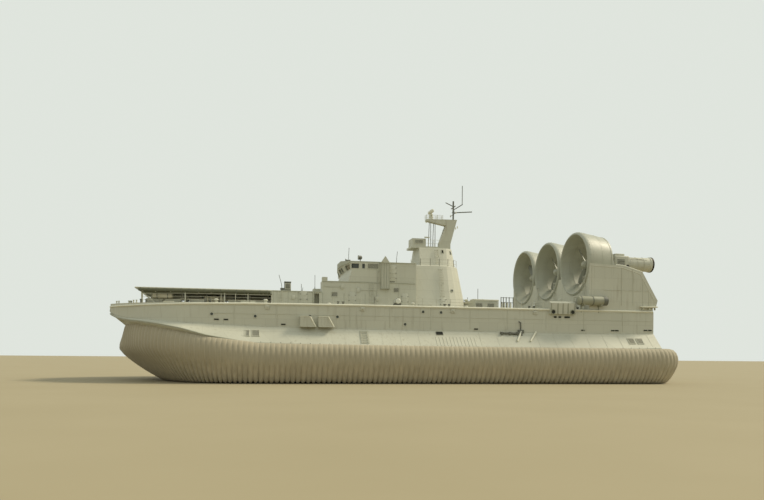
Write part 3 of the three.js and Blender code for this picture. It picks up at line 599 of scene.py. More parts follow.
# Keel bag: from x to x, depth of its folds, and y, z and share of the fold round its section
keel = {
    "from": -25.8, "to": 21.8, "fold": 0.05,
    "section": [(-0.45, 2.29, 0), (-0.43, 1.6, 1), (-0.38, 0.9, 1), (-0.31, 0.3, 1), (-0.2, 0.1, 0.4),
                (0.2, 0.1, 0.4), (0.31, 0.3, 1), (0.38, 0.9, 1), (0.43, 1.6, 1), (0.45, 2.29, 0)],
}


def smoothRows(rows, count):  # Catmull-Rom through the rows, evenly spaced along the outer line
    dense = []
    for i in range(len(rows) - 1):
        quad = [rows[max(i - 1, 0)], rows[i], rows[i + 1], rows[min(i + 2, len(rows) - 1)]]
        for k in range(skirt["steps"]):
            t = k / skirt["steps"]
            dense.append([
                0.5 * (2 * b + (c - a) * t + (2 * a - 5 * b + 4 * c - d) * t * t
                       + (3 * b - a - 3 * c + d) * t ** 3)
                for a, b, c, d in zip(*quad)
            ])
    dense.append(list(rows[-1]))
    outer = [Vector((r[0] + skirt["girth"] * r[4], r[1] + skirt["girth"] * r[5])) for r in dense]
    reach = [0.0]
    for a, b in zip(outer, outer[1:]):
        reach.append(reach[-1] + (b - a).length)
    made, k = [], 0
    for j in range(count + 1):
        goal = reach[-1] * j / count
        while k < len(reach) - 2 and reach[k + 1] < goal:
            k += 1
        t = (goal - reach[k]) / max(reach[k + 1] - reach[k], 1e-9)
        made.append([a + (b - a) * t for a, b in zip(dense[k], dense[k + 1])])
    return made, reach[-1]


def withOutward(rows):  # adds the outward direction to rows that end on the centre line
    made = []
    for i, row in enumerate(rows):
        before = rows[i - 1] if i else (2 * row[0] - rows[1][0], row[1])
        after = rows[i + 1] if i + 1 < len(rows) else (rows[i - 1][0], -rows[i - 1][1])
        along = Vector((after[0] - before[0], after[1] - before[1])).normalized()
        made.append((*row, abs(along.y), abs(along.x)))
    return made


def roundTheEnd(rows):  # on from the centre line to the other side
    return rows + [(x, -y, top, rake, nx, -ny) for x, y, top, rake, nx, ny in rows[-2::-1]]


def ribbedBody(points, columns, size):  # rows of points joined into a closed tube, with a UV map that counts ribs
    faces = [range(size), range(columns * size, (columns + 1) * size)]
    faces += bandFaces(columns, size)
    obj = fromPoints(points, faces)
    layer = obj.data.uv_layers.new(name="ribs")
    for face in obj.data.polygons:
        for loop in face.loop_indices:
            j, i = divmod(obj.data.loops[loop].vertex_index, size)
            layer.data[loop].uv = (j / skirt["columns"], i / (size - 1))
    return closeShape(obj)


def bulgeAt(column):  # 0 in the valley between two ribs, 1 on a rib's crown
    return abs(math.sin(math.pi * column / skirt["columns"])) ** skirt["round"]


def keelStrip():
    start, end = keel["from"], keel["to"]
    columns = round((end - start) / skirt["pitch"]) * skirt["columns"]
    points = []
    for j in range(columns + 1):
        x = start + (end - start) * j / columns
        fold = keel["fold"] * (1 - bulgeAt(j))
        points += [(x, y - math.copysign(fold * share, y), z) for y, z, share in keel["section"]]
    return ribbedBody(points, columns, len(keel["section"]))


def skirtStrip(rows):
    length = smoothRows(rows, 10)[1]
    columns = max(2, round(length / skirt["pitch"])) * skirt["columns"]
    points = []
    for j, (x, y, top, rake, nx, ny) in enumerate(smoothRows(rows, columns)[0]):
        valley = 1 - bulgeAt(j)
        for out, z, share in skirt["section"]:
            height = z * top / skirt["topAt"]
            low = max(0.0, 1 - height / skirt["rake"])
            depth = skirt["pillow"] * min(share, 1) + (skirt["finger"] - skirt["pillow"]) * max(share - 1, 0)
            reach = out - rake * low ** 1.2 - depth * valley
            lift = skirt["notch"] * valley * max(0.0, 1 - height / skirt["tips"])
            points.append((x + nx * reach, y + ny * reach, max(height, 0.02) + lift))
    return ribbedBody(points, columns, len(skirt["section"]))


def makeSkirt():
    bow = withOutward(bowShore)
    bow[0] = (*bow[0][:4], 0.0, 1.0)
    front = skirtStrip(roundTheEnd(bow))
    settle("bow_skirt_bag", front, skirtCloth, replaces=["bow_skirt"], angle=60)
    side = skirtStrip(sideShore)
    settlePair("skirt_bag", side, skirtCloth, replaces=["side_skirt"], angle=60)
    stern = skirtStrip(roundTheEnd(sternShore))
    settle("stern_skirt_bag", stern, skirtCloth, replaces=["stern_skirt"], angle=60)
    settle("keel_skirt_bag", keelStrip(), skirtCloth, replaces=["keel_skirt"], angle=60)


# Ducts: the lip's x and radius, the throat's and the rear's radius, and the pivots of the rudders behind
duct = {
    "x": -19.14, "z": 12.59, "pitch": 6.97, "lip": 3.374, "throat": 2.68, "rear": 2.9, "length": 3.06,
    "hoops": (-19.85, -20.95, -22.05), "bolts": 36, "steps": 96, "bandX": (-20.4, -21.1),
    "rudderX": -21.98, "rudderOffset": 1.35, "rudderHalf": 1.98, "pinEnd": 2.42,
}
sides = {"port": 1, "centre": 0, "starboard": -1}


# One piece for each duct, and the model itself is used up
def settleInDucts(name, whole, replaces, body="", angle=30, x=0, handed=False):
    for side, sign in sides.items():
        twin = copyOf(whole, shift=(x, sign * duct["pitch"], duct["z"]), flip=handed and sign < 0)
        settle(f"{side}_{name}", twin, body=f"{side}_{body}" if body else "hull",
               replaces=[f"{side}_{replaces}"], angle=angle)
    bpy.data.objects.remove(whole)


def ductShell():
    front, rear = duct["x"], duct["x"] - duct["length"]
    lip, throat = duct["lip"], duct["throat"]
    outer = [(front, lip - 0.2), (front - 0.03, lip - 0.11), (front - 0.1, lip - 0.04), (front - 0.2, lip - 0.008),
             (front - 0.32, lip), (front - 0.5, lip - 0.02), (front - 1.4, lip - 0.17), (rear + 0.03, duct["rear"]),
             (rear, duct["rear"] - 0.03)]
    inner = [(rear, throat + 0.04), (rear + 0.03, throat + 0.02), (front - 1.3, throat),
             (front - 0.95, throat + 0.06),
             (front - 0.65, throat + 0.17), (front - 0.4, throat + 0.28), (front - 0.2, lip - 0.35),
             (front - 0.07, lip - 0.29), (front - 0.01, lip - 0.24)]
    parts = [spun(outer + inner + outer[:1], duct["steps"])]
    for x in duct["hoops"]:
        r = lip + (duct["rear"] - lip) * (front - 0.32 - x) / (duct["length"] - 0.32)
        rim = [(x - 0.05, r - 0.02), (x - 0.05, r + 0.012), (x + 0.05, r + 0.03), (x + 0.05, r - 0.02)]
        parts.append(spun(rim + rim[:1], 72))
    ahead, behind = duct["bandX"]
    band = [(ahead, throat + 0.024), (ahead, throat - 0.012), (behind, throat - 0.012), (behind, throat + 0.024)]
    parts.append(spun(band + band[:1], 72))
    bolt = block((front - 0.42, front - 0.34), (-0.035, 0.035), (lip - 0.03, lip + 0.015), 0.01, 1)
    parts += turned(bolt, duct["bolts"])
    pins = []
    for side in (-1, 1):
        at = (duct["rudderX"], side * duct["rudderOffset"])
        for up in (-1, 1):
            ends = [(*at, up * (duct["rudderHalf"] + 0.002)), (*at, up * duct["pinEnd"])]
            pins.append(pipes([ends], 0.07, 14))
    return fuse([tint(fuse(parts), ductPaint), tint(fuse(pins), darkSteel)])


def makeDucts():
    settleInDucts("duct_shell", ductShell(), "duct", angle=28)


# Blade stations: radius, chord, thickness, pitch in degrees
blades = {
    "x": -20.75, "count": 4,
    "stations": [(0.34, 0.3, 0.2, 64), (0.55, 0.4, 0.16, 56), (0.9, 0.52, 0.12, 48), (1.3, 0.58, 0.095, 40),
                 (1.7, 0.6, 0.075, 34), (2.05, 0.58, 0.06, 29), (2.35, 0.52, 0.045, 25), (2.54, 0.42, 0.03, 22.5),
                 (2.6, 0.3, 0.02, 22)],
    "foil": [(-0.5, 0.0), (-0.4, 0.3), (-0.2, 0.5), (0.1, 0.48), (0.35, 0.28), (0.5, 0.02), (0.35, -0.24),
             (0.1, -0.42), (-0.2, -0.44), (-0.4, -0.28)],
    "cuff": [(0.28, 0.0), (0.28, 0.17), (0.5, 0.15), (0.56, 0.11), (0.56, 0.0)],
    "spinner": [(-0.58, 0.0), (-0.58, 0.2), (-0.5, 0.22), (-0.5, 0.42), (-0.42, 0.43), (0.2, 0.43), (0.34, 0.4),
                (0.48, 0.32), (0.58, 0.2), (0.63, 0.09), (0.64, 0.0)],
}


def propellerBlade():
    points, size = [], len(blades["foil"])
    for radius, chord, thick, pitch in blades["stations"]:
        turn = math.radians(pitch)
        for a, b in blades["foil"]:
            along, through = a * chord, b * thick
            across = along * math.cos(turn) - through * math.sin(turn)
            points.append((along * math.sin(turn) + through * math.cos(turn), across, radius))
    faces = bandFaces(len(blades["stations"]) - 1, size)
    faces += [range(size), range(len(points) - size, len(points))]
    obj = closeShape(fromPoints(points, faces))
    smooth = obj.modifiers.new("smooth", "SUBSURF")
    smooth.levels = smooth.render_levels = 1
    bpy.ops.object.modifier_apply(modifier="smooth")
    return obj


def makePropellers():
    blade = tint(propellerBlade(), bladeAlloy)
    unit = fuse([blade, tint(spun(blades["cuff"], 20, "z"), darkSteel)])
    hub = tint(spun(blades["spinner"], 40), ductPaint)
    whole = fuse([hub, *turned(unit, blades["count"], math.pi / 4)])
    settleInDucts("propeller_blades", whole, "propeller", body="propeller", angle=40,
                  x=blades["x"], handed=True)


# Nacelle behind each propeller, seen from its own duct's axis
nacelle = {
    "front": -21.35, "rise": 0.2, "tail": -28.2, "radius": 0.75,
    "gearbox": ((-25.3, -23.6), (-0.72, 0.72), (-0.65, 1.0)),
    "hump": ((-24.85, -23.7), (-0.5, 0.5), (0.9, 1.24)), "lid": ((-24.6, -23.95), (-0.3, 0.3), (1.2, 1.28)),
    "vaneX": (-21.72, -21.4), "pylon": [(-22.9, -3.4), (-22.9, -0.3), (-26.0, -0.3), (-25.6, -3.4)],
    "bands": (-25.5, -26.3, -27.1), "hole": (-25.1, 0.72, -0.12), "louvre": (-24.75, -23.9), "slats": 6,
}


def makeNacelles():
    front, tail, radius = nacelle["front"], nacelle["tail"], nacelle["radius"]
    shaft = spun([(front, 0.0), (front, 0.36), (front - 0.04, 0.42), (front - 0.6, 0.56), (-22.6, 0.62),
                  (-24.3, 0.66), (-24.3, 0.0)], 40)
    gearbox = block(*nacelle["gearbox"], bevel=0.14, segments=4)
    hump = block(*nacelle["hump"], 0.06, 2)
    lid = block(*nacelle["lid"], 0.03, 1)
    vane = block(nacelle["vaneX"], (-0.055, 0.055), (0.3, duct["throat"] + 0.05), 0.05, 3)
    vanes = turned(vane, 3)
    pylon = plate("y", nacelle["pylon"], -0.33, 0.33, 0.12, 3)
    barrel = spun([(-24.9, 0.5), (-24.95, 0.66), (-25.1, 0.72), (-25.4, radius), (tail + 0.5, radius),
                   (tail + 0.36, radius + 0.01), (tail + 0.3, radius + 0.06), (tail + 0.04, radius + 0.06),
                   (tail, radius + 0.03), (tail, radius - 0.06), (tail + 0.65, radius - 0.12), (tail + 0.65, 0.5),
                   (-24.9, 0.5)], 56)
    outside = [barrel] + [hoop(x, 0.04, radius - 0.02, radius + 0.022, 56) for x in nacelle["bands"]]
    for part in outside:
        moved(part, 0, 0, nacelle["rise"])
    painted = tint(fuse([shaft, gearbox, hump, lid, pylon, *vanes, *outside]), hullPaint)

    # Exhaust pipe inside the tail and its dark end ring, heat stained, and the cooling holes on both flanks as dark
    # discs of painted shade
    pipe = spun([(tail + 0.62, 0.0), (tail + 0.62, 0.42), (tail + 0.1, 0.44), (tail + 0.1, 0.5), (tail + 0.66, 0.52),
                 (tail + 0.66, 0.0)], 40)
    rim = [(tail - 0.02, radius - 0.08), (tail - 0.02, radius + 0.075), (tail + 0.16, radius + 0.08),
           (tail + 0.16, radius + 0.055), (tail + 0.02, radius - 0.05)]
    dark = [moved(part, 0, 0, nacelle["rise"]) for part in (pipe, spun(rim + rim[:1], 56))]
    x, y, z = nacelle["hole"]
    for side in (-1, 1):
        hole = spun([(-0.05, 0.0), (-0.05, 0.17), (0.012, 0.17), (0.012, 0.0)], 28, "y")
        dark.append(moved(hole, x, side * y, z))
    dark = tint(fuse(dark), heatStainAndHoleShade)

    # Louvred cooler panel on each flank of the gearbox, and braces down to the deck
    slats = []
    for side in (-1, 1):
        for k in range(nacelle["slats"]):
            across, low = (side * 0.73 - 0.025, side * 0.73 + 0.025), 0.16 * k - 0.3
            slats.append(block(nacelle["louvre"], across, (low, -0.22 + 0.16 * k), 0.01, 1))
    louvre = tint(fuse(slats), darkSteel)
    brace = pipes([[(-26.4, side * 0.3, -0.48), (-25.75, side * 0.3, -1.9)] for side in (-1, 1)], 0.07, 10)
    clips = pipes([[(-25.0, side * 0.6, 0.86), (-27.4, side * 0.62, 0.62)] for side in (-1, 1)], 0.03, 8)
    whole = fuse([painted, dark, louvre, tint(fuse([brace, clips]), hullPaint)])
    settleInDucts("nacelle_fairing", whole, "nacelle", angle=32)


# Rudder: a slim symmetrical section between its pivots, with this series for its half thickness
rudder = {"lead": 0.22, "trail": 0.74, "thick": 0.14, "stiffeners": 4, "foil": (1.48, -0.63, -1.76, 1.42, -0.5)}


def makeRudders():
    lead, chord, thick = rudder["lead"], rudder["lead"] + rudder["trail"], rudder["thick"]
    root, first, second, third, fourth = rudder["foil"]
    outline = []
    for k in range(20):
        t = math.pi * 2 * k / 20
        s = (1 - math.cos(t)) / 2
        half = thick * (root * math.sqrt(s) + first * s + second * s ** 2 + third * s ** 3 + fourth * s ** 4)
        outline.append((lead - s * chord, half if t <= math.pi else -half))
    tall, count = duct["rudderHalf"], rudder["stiffeners"]
    parts = [plate("z", outline, -tall, tall, 0.012, 1)]
    heights = [-tall + (k + 0.5) * 2 * tall / count for k in range(count)]
    parts += slabs("z", heights, 0.03, (-0.5, 0.12), (-thick / 2 - 0.012, thick / 2 + 0.012))
    whole = tint(fuse(parts), ductPaint)
    for side, sign in sides.items():
        for where, hand in (("left", 1), ("right", -1)):
            node = f"{side}_rudder_{where}"
            y = sign * duct["pitch"] + hand * duct["rudderOffset"]
            twin = copyOf(whole, shift=(duct["rudderX"], y, duct["z"]))
            settle(f"{node}_blade", twin, body=node, replaces=[node], angle=30)
    bpy.data.objects.remove(whole)


# Hull lines that the trims follow: x, strake edge y and z, knuckle y and z, deck edge y and z
hullLines = [
    (-26.5, 12.0, 3.58, 10.4, 5.15, 10.4, 7.4), (-19.0, 12.0, 3.45, 10.4, 5.08, 10.4, 7.4),
    (5.0, 12.0, 3.52, 10.4, 5.18, 10.4, 7.4), (14.8, 12.0, 3.72, 10.4, 5.32, 10.4, 7.4),
    (18.7, 11.85, 4.37, 10.4, 5.46, 10.35, 7.4), (20.9, 11.3, 4.98, 10.2, 5.56, 10.1, 7.4),
    (23.0, 10.2, 5.4, 9.5, 5.75, 9.35, 7.4), (24.6, 8.7, 5.66, 8.3, 5.92, 8.2, 7.42),
    (26.0, 7.0, 5.85, 6.8, 6.1, 6.8, 7.45), (27.2, 5.5, 6.1, 5.4, 6.33, 5.4, 7.48),
    (28.1, 4.0, 6.52, 4.05, 6.7, 4.05, 7.5),
]


def hullAt(x):
    for a, b in zip(hullLines, hullLines[1:]):
        if x <= b[0]:
            t = (x - a[0]) / (b[0] - a[0])
            return [p + (q - p) * t for p, q in zip(a, b)]
    return list(hullLines[-1])


# Pieces for a face are modelled flat, X along it, Y up it and Z off it.
# One of these sets them on the port side.
def onStrake(x, up, lift=0.0):
    row = hullAt(x)
    foot = Vector((x, row[1], row[2]))
    rise = (Vector((x, row[3], row[4])) - foot).normalized()
    off = Vector((0, rise.z, -rise.y))
    place = foot + rise * up + off * lift
    return Matrix.Translation(place) @ Matrix((Vector((-1, 0, 0)), rise, off)).transposed().to_4x4()


def onStrakeAt(x, z, lift=0.0):  # the same by height
    row = hullAt(x)
    rise = (Vector((0, row[3], row[4])) - Vector((0, row[1], row[2]))).normalized()
    return onStrake(x, (z - row[2]) / rise.z, lift)


def onWall(x, y, z):
    return Matrix.Translation((x, y, z)) @ Matrix(((-1, 0, 0), (0, 0, 1), (0, 1, 0))).to_4x4()


def onFront(x, y, z, face=1):  # a wall that faces the bow, or the stern with face -1
    return Matrix.Translation((x, y, z)) @ Matrix(((0, 0, face), (face, 0, 0), (0, 1, 0))).to_4x4()


def onDeck(x, y, z):
    return Matrix.Translation((x, y, z))


def put(obj, *places):  # a copy at each place, the model itself is used up
    made = [copyOf(obj, turn=place) for place in places]
    bpy.data.objects.remove(obj)
    return made


def fitPair(name, model, places, material=None):
    settlePair(name, fuse(put(model, *places)), material)


# Fittings that several pieces share
def frameBars(width, height, bar, depth):
    w, h = width / 2, height / 2
    level = [((-w - bar, w + bar), y) for y in ((h, h + bar), (-h - bar, -h))]
    bars = level + [(x, (-h, h)) for x in ((-w - bar, -w), (w, w + bar))]
    return [block(x, y, (-0.03, depth), 0.012, 1) for x, y in bars]


# painted shade: a near-black plate behind an opening stands for the unlit space inside
def darkBack(width, height, lift):
    return tint(block((-width / 2, width / 2), (-height / 2, height / 2), (-0.03, lift), 0), openingShade)


def grille(width, height, slats):
    frame = tint(fuse(frameBars(width, height, 0.06, 0.05)), hullPaint)
    back = darkBack(width, height, 0.006)
    heights = [((k + 0.5) / slats - 0.5) * height for k in range(slats)]
    bars = slabs("y", heights, 0.018, (-width / 2, width / 2), (0.004, 0.035), 0)
    return fuse([frame, back, tint(fuse(bars), hullPaint)])


def porthole(radius):
    lip = [(-0.02, radius), (-0.02, radius + 0.07), (0.035, radius + 0.06), (0.05, radius + 0.02), (0.03, radius)]
    pane = spun([(-0.02, 0.0), (-0.02, radius + 0.01), (0.012, radius + 0.01), (0.012, 0.0)], 28, "z")
    return fuse([tint(spun(lip + lip[:1], 28, "z"), hullPaint), tint(pane, glass)])


def scupper(width, height):
    return fuse([tint(fuse(frameBars(width, height, 0.035, 0.04)), hullPaint), darkBack(width, height, 0.004)])


# Watertight door: a leaf with rounded corners in a raised coaming, with stiffeners and clips
def door(width=0.7, height=1.65):
    corner = 0.16
    outline = []
    for cx, cy, start in ((1, 1, 0), (-1, 1, 90), (-1, -1, 180), (1, -1, 270)):
        for k in range(5):
            a = math.radians(start + k * 22.5)
            x = cx * (width / 2 - corner) + corner * math.cos(a)
            outline.append((x, cy * (height / 2 - corner) + corner * math.sin(a)))
    coaming = plate("z", [(x * 1.13, y * 1.06) for x, y in outline], -0.02, 0.035, 0.012, 2)
    leaf = plate("z", outline, -0.01, 0.07, 0.02, 2)
    stiff = slabs("y", (-0.4, 0.0, 0.4), 0.03, (-width * 0.36, width * 0.36), (0.06, 0.095))
    clips = []
    for x in (-width * 0.47, width * 0.47):
        clips += slabs("y", (-0.55, 0.0, 0.55), 0.02, (x - 0.07, x + 0.07), (0.07, 0.11), 0.008)
    return fuse([tint(fuse([coaming, leaf, *stiff]), hullPaint), tint(fuse(clips), darkSteel)])


def ladder(height, width=0.4, step=0.3, off=0.14):
    half, feet = width / 2, max(2, int(height / 1.2))
    runs = [[(x, 0, off), (x, height, off)] for x in (-half, half)]
    runs += [[(-half, step * (k + 0.5), off), (half, step * (k + 0.5), off)] for k in range(int(height / step))]
    for k in range(feet + 1):
        y = 0.1 + k * (height - 0.2) / feet
        runs += [[(x, y, -0.02), (x, y, off)] for x in (-half, half)]
    return pipes(runs, 0.02, 6)


def railing(path, height=0.95, spacing=1.5, wires=3):  # stanchions with wires along a path of deck points
    runs, wireRuns = [], [[] for _ in range(wires)]
    for a, b in zip(path, path[1:]):
        a, b = Vector(a), Vector(b)
        count = max(1, round((b - a).length / spacing))
        for k in range(count + 1):
            foot = a + (b - a) * k / count
            runs.append([foot - Vector((0, 0, 0.02)), foot + Vector((0, 0, height))])
            for level in range(wires):
                wireRuns[level].append(foot + Vector((0, 0, height * (level + 1) / wires - 0.02)))
    return fuse([pipes(runs, 0.028, 6), pipes(wireRuns, 0.014, 6)])


def bollards():
    base = block((-0.42, 0.42), (-0.16, 0.16), (-0.01, 0.05), 0.015, 1)
    post = spun([(0.0, 0.0), (0.0, 0.1), (0.3, 0.1), (0.32, 0.14), (0.38, 0.14), (0.4, 0.1), (0.4, 0.0)], 20, "z")
    return fuse([base, *put(post, onDeck(-0.24, 0, 0.03), onDeck(0.24, 0, 0.03))])


def mushroomVent(height=0.55, radius=0.2):
    stem, top = radius * 0.6, height - 0.16
    return spun([(0.0, 0.0), (0.0, radius * 0.8), (0.04, radius * 0.8), (0.05, stem), (top, stem), (top, radius),
                 (height - 0.1, radius * 1.08), (height - 0.03, radius * 0.8), (height, radius * 0.3), (height, 0.0)],
                24, "z")


def hatch(width=0.9, length=0.9):
    x, y = length / 2, width / 2
    coaming = block((-x, x), (-y, y), (-0.02, 0.22), 0.03, 2)
    lid = block((-x - 0.04, x + 0.04), (-y - 0.04, y + 0.04), (0.2, 0.28), 0.03, 2)
    clips = []
    for at in (-length * 0.3, length * 0.3):
        clips += slabs("y", (-y - 0.05, y + 0.05), 0.02, (at - 0.04, at + 0.04), (0.1, 0.3))
    return fuse([coaming, lid, *clips])


def locker(length, width, height):
    x, y = length / 2, width / 2
    body = block((-x, x), (-y, y), (0.0, height - 0.05), 0.025, 2)
    lid = block((-x - 0.03, x + 0.03), (-y - 0.03, y + 0.03), (height - 0.06, height), 0.02, 2)
    feet = slabs("x", (-length * 0.35, length * 0.35), 0.05, (-y, y), (-0.02, 0.04))
    return fuse([body, lid, *feet])


# Hull trims: rubbing tube where the skirt hangs, bead along the knuckle, bright bar along the deck's edge
hullTrims = {"aft": -26.4, "droopFrom": 12, "droop": 0.02, "clampsFrom": -25.8, "clampPitch": 0.9, "clamps": 45}


def makeHullTrims():
    look = hullTrims
    edge, knuckle, gunwale = [], [], []
    for x in [look["aft"]] + [row[0] for row in hullLines[1:]]:
        row = hullAt(x)
        edge.append((x, row[1] + 0.02, row[2]))
        knuckle.append((x, row[3] + 0.01, row[4]))
        gunwale.append((x, row[5] + 0.01, row[6] + 0.03 - max(0.0, x - look["droopFrom"]) * look["droop"]))
    paintPair("rubbing_tube", pipes([edge], 0.075, 12), "hull_paint", deckPaint)
    paintPair("knuckle_bead", pipes([knuckle], 0.04, 8))
    # The deck's edge bar is near-white: pale paint, and partly painted highlight for the bright line along the edge
    paintPair("gunwale_bar", pipes([gunwale], 0.1, 12), "white_paint", whitePaintAndPaintedLight)

    # Clamp bolts that hold the skirt to the tube
    bolt = spun([(0.0, 0.0), (0.0, 0.045), (0.03, 0.045), (0.045, 0.03), (0.045, 0.0)], 8, "z")
    places = [onStrake(look["clampsFrom"] + look["clampPitch"] * k, 0.12) for k in range(look["clamps"])]
    fitPair("skirt_clamps", bolt, places, darkSteel)


# Strake: places by x and height, or by x and the distance up from its edge
strake = {
    "vents": [(15.17, 4.6), (14.26, 4.6), (-23.54, 4.33), (-24.47, 4.33)], "intake": (-3.37, 4.86),
    "ribs": (-2.9, -6.8, 12), "ribUp": 0.82, "seamUp": 1.15,
    "seams": (12.6, 11.0, 7.2, 6.0, 2.4, 0.6, -1.2, -7.4, -9.2, -13.4, -15.2, -17.0, -18.8, -20.6, -22.3, -25.6),
    "ladder": (4.1, 1.75), "struts": [(-11.88, -11.15), (-13.46, -12.52)], "strutTop": 5.08, "strutFoot": 4.15,
    "boom": [(-9.65, 10.66, 5.0), (-11.45, 10.72, 4.94)],
    "davit": [(-11.85, 10.46, 5.2), (-11.83, 10.5, 6.05), (-11.6, 10.6, 6.15)],
}


def makeStrakeFittings():
    look = strake
    fitPair("strake_vents", grille(0.62, 0.74, slats=7), [onStrakeAt(*place) for place in look["vents"]])
    fitPair("strake_intake", scupper(0.7, 0.46), [onStrakeAt(*look["intake"])])

    # Stiffeners stand on the strake aft of the intake, and light flat bars all along it
    start, end, count = look["ribs"]
    bar = block((-0.04, 0.04), (-0.62, 0.62), (-0.03, 0.022), 0.012, 1)
    places = [onStrake(start + (end - start) * k / (count - 1), look["ribUp"]) for k in range(count)]
    fitPair("strake_stiffeners", bar, places, hullPaint)
    seam = block((-0.02, 0.02), (-1.05, 1.05), (-0.02, 0.012), 0)
    fitPair("strake_seams", seam, [onStrake(x, look["seamUp"]) for x in look["seams"]], hullPaint)

    # Foot plates and a grab rail up the strake amidships
    x, tall = look["ladder"]
    rungs = tint(ladder(tall, 0.62, 0.32, 0.1), hullPaint)
    mat = tint(block((-0.42, 0.42), (0.05, tall), (-0.02, 0.015), 0.01, 1), deckPaint)
    fitPair("strake_ladder", fuse([mat, rungs]), [onStrake(x, 0.3)])

    # Dark boom stowed below the knuckle with its bracket, and the pale struts beside it
    boom = pipes([look["boom"]], 0.11, 12)
    ends = slabs("x", (-9.75, -10.6, -11.4), 0.1, (10.5, 10.86), (4.82, 5.12), 0.03, 2)
    paintPair("stowed_boom", fuse([boom, *ends]), "dark_steel")
    upper = block((-12.15, -11.55), (10.38, 10.6), (5.0, 5.34), 0.03, 2)
    lower = block((-11.95, -11.75), (10.38, 10.75), (4.7, 5.1), 0.03, 2)
    paintPair("boom_bracket", fuse([upper, lower]), "dark_steel")
    struts = []
    for top, foot in look["struts"]:
        ends = (onStrakeAt(top, look["strutTop"], 0.12), onStrakeAt(foot, look["strutFoot"], 0.06))
        struts.append([tuple(end.translation) for end in ends])
    paintPair("skirt_struts", pipes(struts, 0.09, 10), "white_paint", whitePaintAndPaintedLight)
    paintPair("boom_davit", pipes([look["davit"]], 0.06, 10), "dark_steel")


# Upper hull's wall: x and height of the round ports and of the slots, x of the seams and of the towing pads
wall = {
    "y": 10.38,
    "ports": [(18.23, 6.35), (14.29, 6.22), (-1.79, 6.94), (-3.6, 6.92), (0.0, 5.7), (9.2, 6.3), (6.6, 6.3)],
    "slots": [(17.8, 5.86), (16.95, 5.86), (-21.9, 5.42), (-22.35, 5.42), (-25.6, 5.5), (-26.1, 5.5), (11.7, 5.5),
              (-7.2, 5.35), (-18.6, 5.4)],
    "seams": (16.2, 12.3, 5.4, 1.5, -2.6, -6.6, -10.5, -14.6, -18.7, -23.0), "pads": (13.2, 4.2, -4.8, -13.4),
}


def makeWallFittings():
    face = wall["y"]
    fitPair("hull_ports", porthole(0.13), [onWall(x, hullAt(x)[3], z) for x, z in wall["ports"]])
    fitPair("scuppers", scupper(0.42, 0.13), [onWall(x, hullAt(x)[3], z) for x, z in wall["slots"]])
    bars = slabs("x", wall["seams"], 0.035, (face, 10.44), (5.35, 7.36), 0.012)
    bars.append(block((-26.3, 18.0), (face, 10.43), (6.42, 6.47), 0.012, 1))
    paintPair("wall_bars", fuse(bars))
    pads = slabs("x", wall["pads"], 0.22, (face, 10.5), (6.9, 7.3), 0.04, 2)
    for x in wall["pads"]:
        eye = [(x + shift, y, 7.12) for shift, y in ((-0.08, 10.48), (-0.08, 10.6), (0.08, 10.6), (0.08, 10.48))]
        pads.append(pipes([eye], 0.025, 8))
    paintPair("towing_pads", fuse(pads))


# Scoop hoods: x of each mouth, then the sloping back's reach, depth and heights
hoods = {"mouths": (10.14, 8.44), "crown": 0.9, "foot": 1.43, "y": (10.42, 11.1), "z": (5.3, 6.25)}


def makeHoodTrims():  # a rolled lip round the mouth, ribs down the back, near-white bars of painted highlight along the back's two edges, and bars on the outer cheek
    inner, outer = hoods["y"]
    low, high = hoods["z"]
    parts, backHighlights = [], []
    for x in hoods["mouths"]:
        crown, foot = x - hoods["crown"], x - hoods["foot"]
        mouth = [(x, inner, low + 0.02), (x, outer, low + 0.02), (x, outer, high), (x, inner, high)]
        top = [(x, outer, high), (crown, outer, high)]
        parts.append(pipes([mouth, top, [(x, outer, low), (foot, outer, low)]], 0.04, 8))
        # painted highlight: the sloping back's edges, drawn near-white
        backHighlights.append(pipes([[(crown, y, high), (foot, y, low)] for y in (outer, 10.46)], 0.06, 10))
        for y in (10.55, 10.75, 10.95):
            parts.append(pipes([[(crown, y, high + 0.02), (foot, y, low + 0.02)]], 0.03, 8))
        for k in range(3):
            along = (x - 0.35 - 0.3 * k, x - 0.28 - 0.3 * k)
            parts.append(block(along, (outer - 0.02, outer + 0.025), (5.42, 6.15), 0.012, 1))
    settlePair("hood_ribs", fuse([tint(fuse(parts), hullPaint), tint(fuse(backHighlights), whitePaintAndPaintedLight)]))


# Exhaust casing: x of its round outlets, lids, straps and drain lips
casing = {
    "outlets": (-15.2, -17.28), "at": (10.73, 7.2), "lids": (-15.4, -16.25, -17.1),
    "straps": (-14.98, -15.7, -16.25, -16.8, -17.52), "drains": (-15.55, -16.05, -16.7, -17.0),
}


def makeCasingTrims():
    holes, rings = [], []
    y, z = casing["at"]
    for x in casing["outlets"]:
        holes.append(moved(spun([(0.0, 0.0), (0.0, 0.19), (0.05, 0.19), (0.05, 0.0)], 28, "y"), x, y, z))
        ring = spun([(0.0, 0.18), (0.0, 0.27), (0.07, 0.25), (0.07, 0.19), (0.0, 0.18)], 28, "y")
        rings.append(moved(ring, x, y - 0.02, z))
    lids = slabs("x", casing["lids"], 0.34, (8.9, 10.4), (8.28, 8.36), 0.03, 2)
    straps = slabs("x", casing["straps"], 0.03, (10.62, 10.8), (7.0, 8.1))
    paintPair("casing_lids", fuse([*lids, *straps, *rings]), "hull_paint", sootAndShadePaint)
    # painted shade: near-black discs at the outlets and small plates at the drains stand for the unlit openings
    drips = slabs("x", casing["drains"], 0.14, (10.39, 10.48), (6.62, 6.78), 0.02)
    paintPair("casing_outlets", fuse(holes + drips), "dark_steel", openingShade)


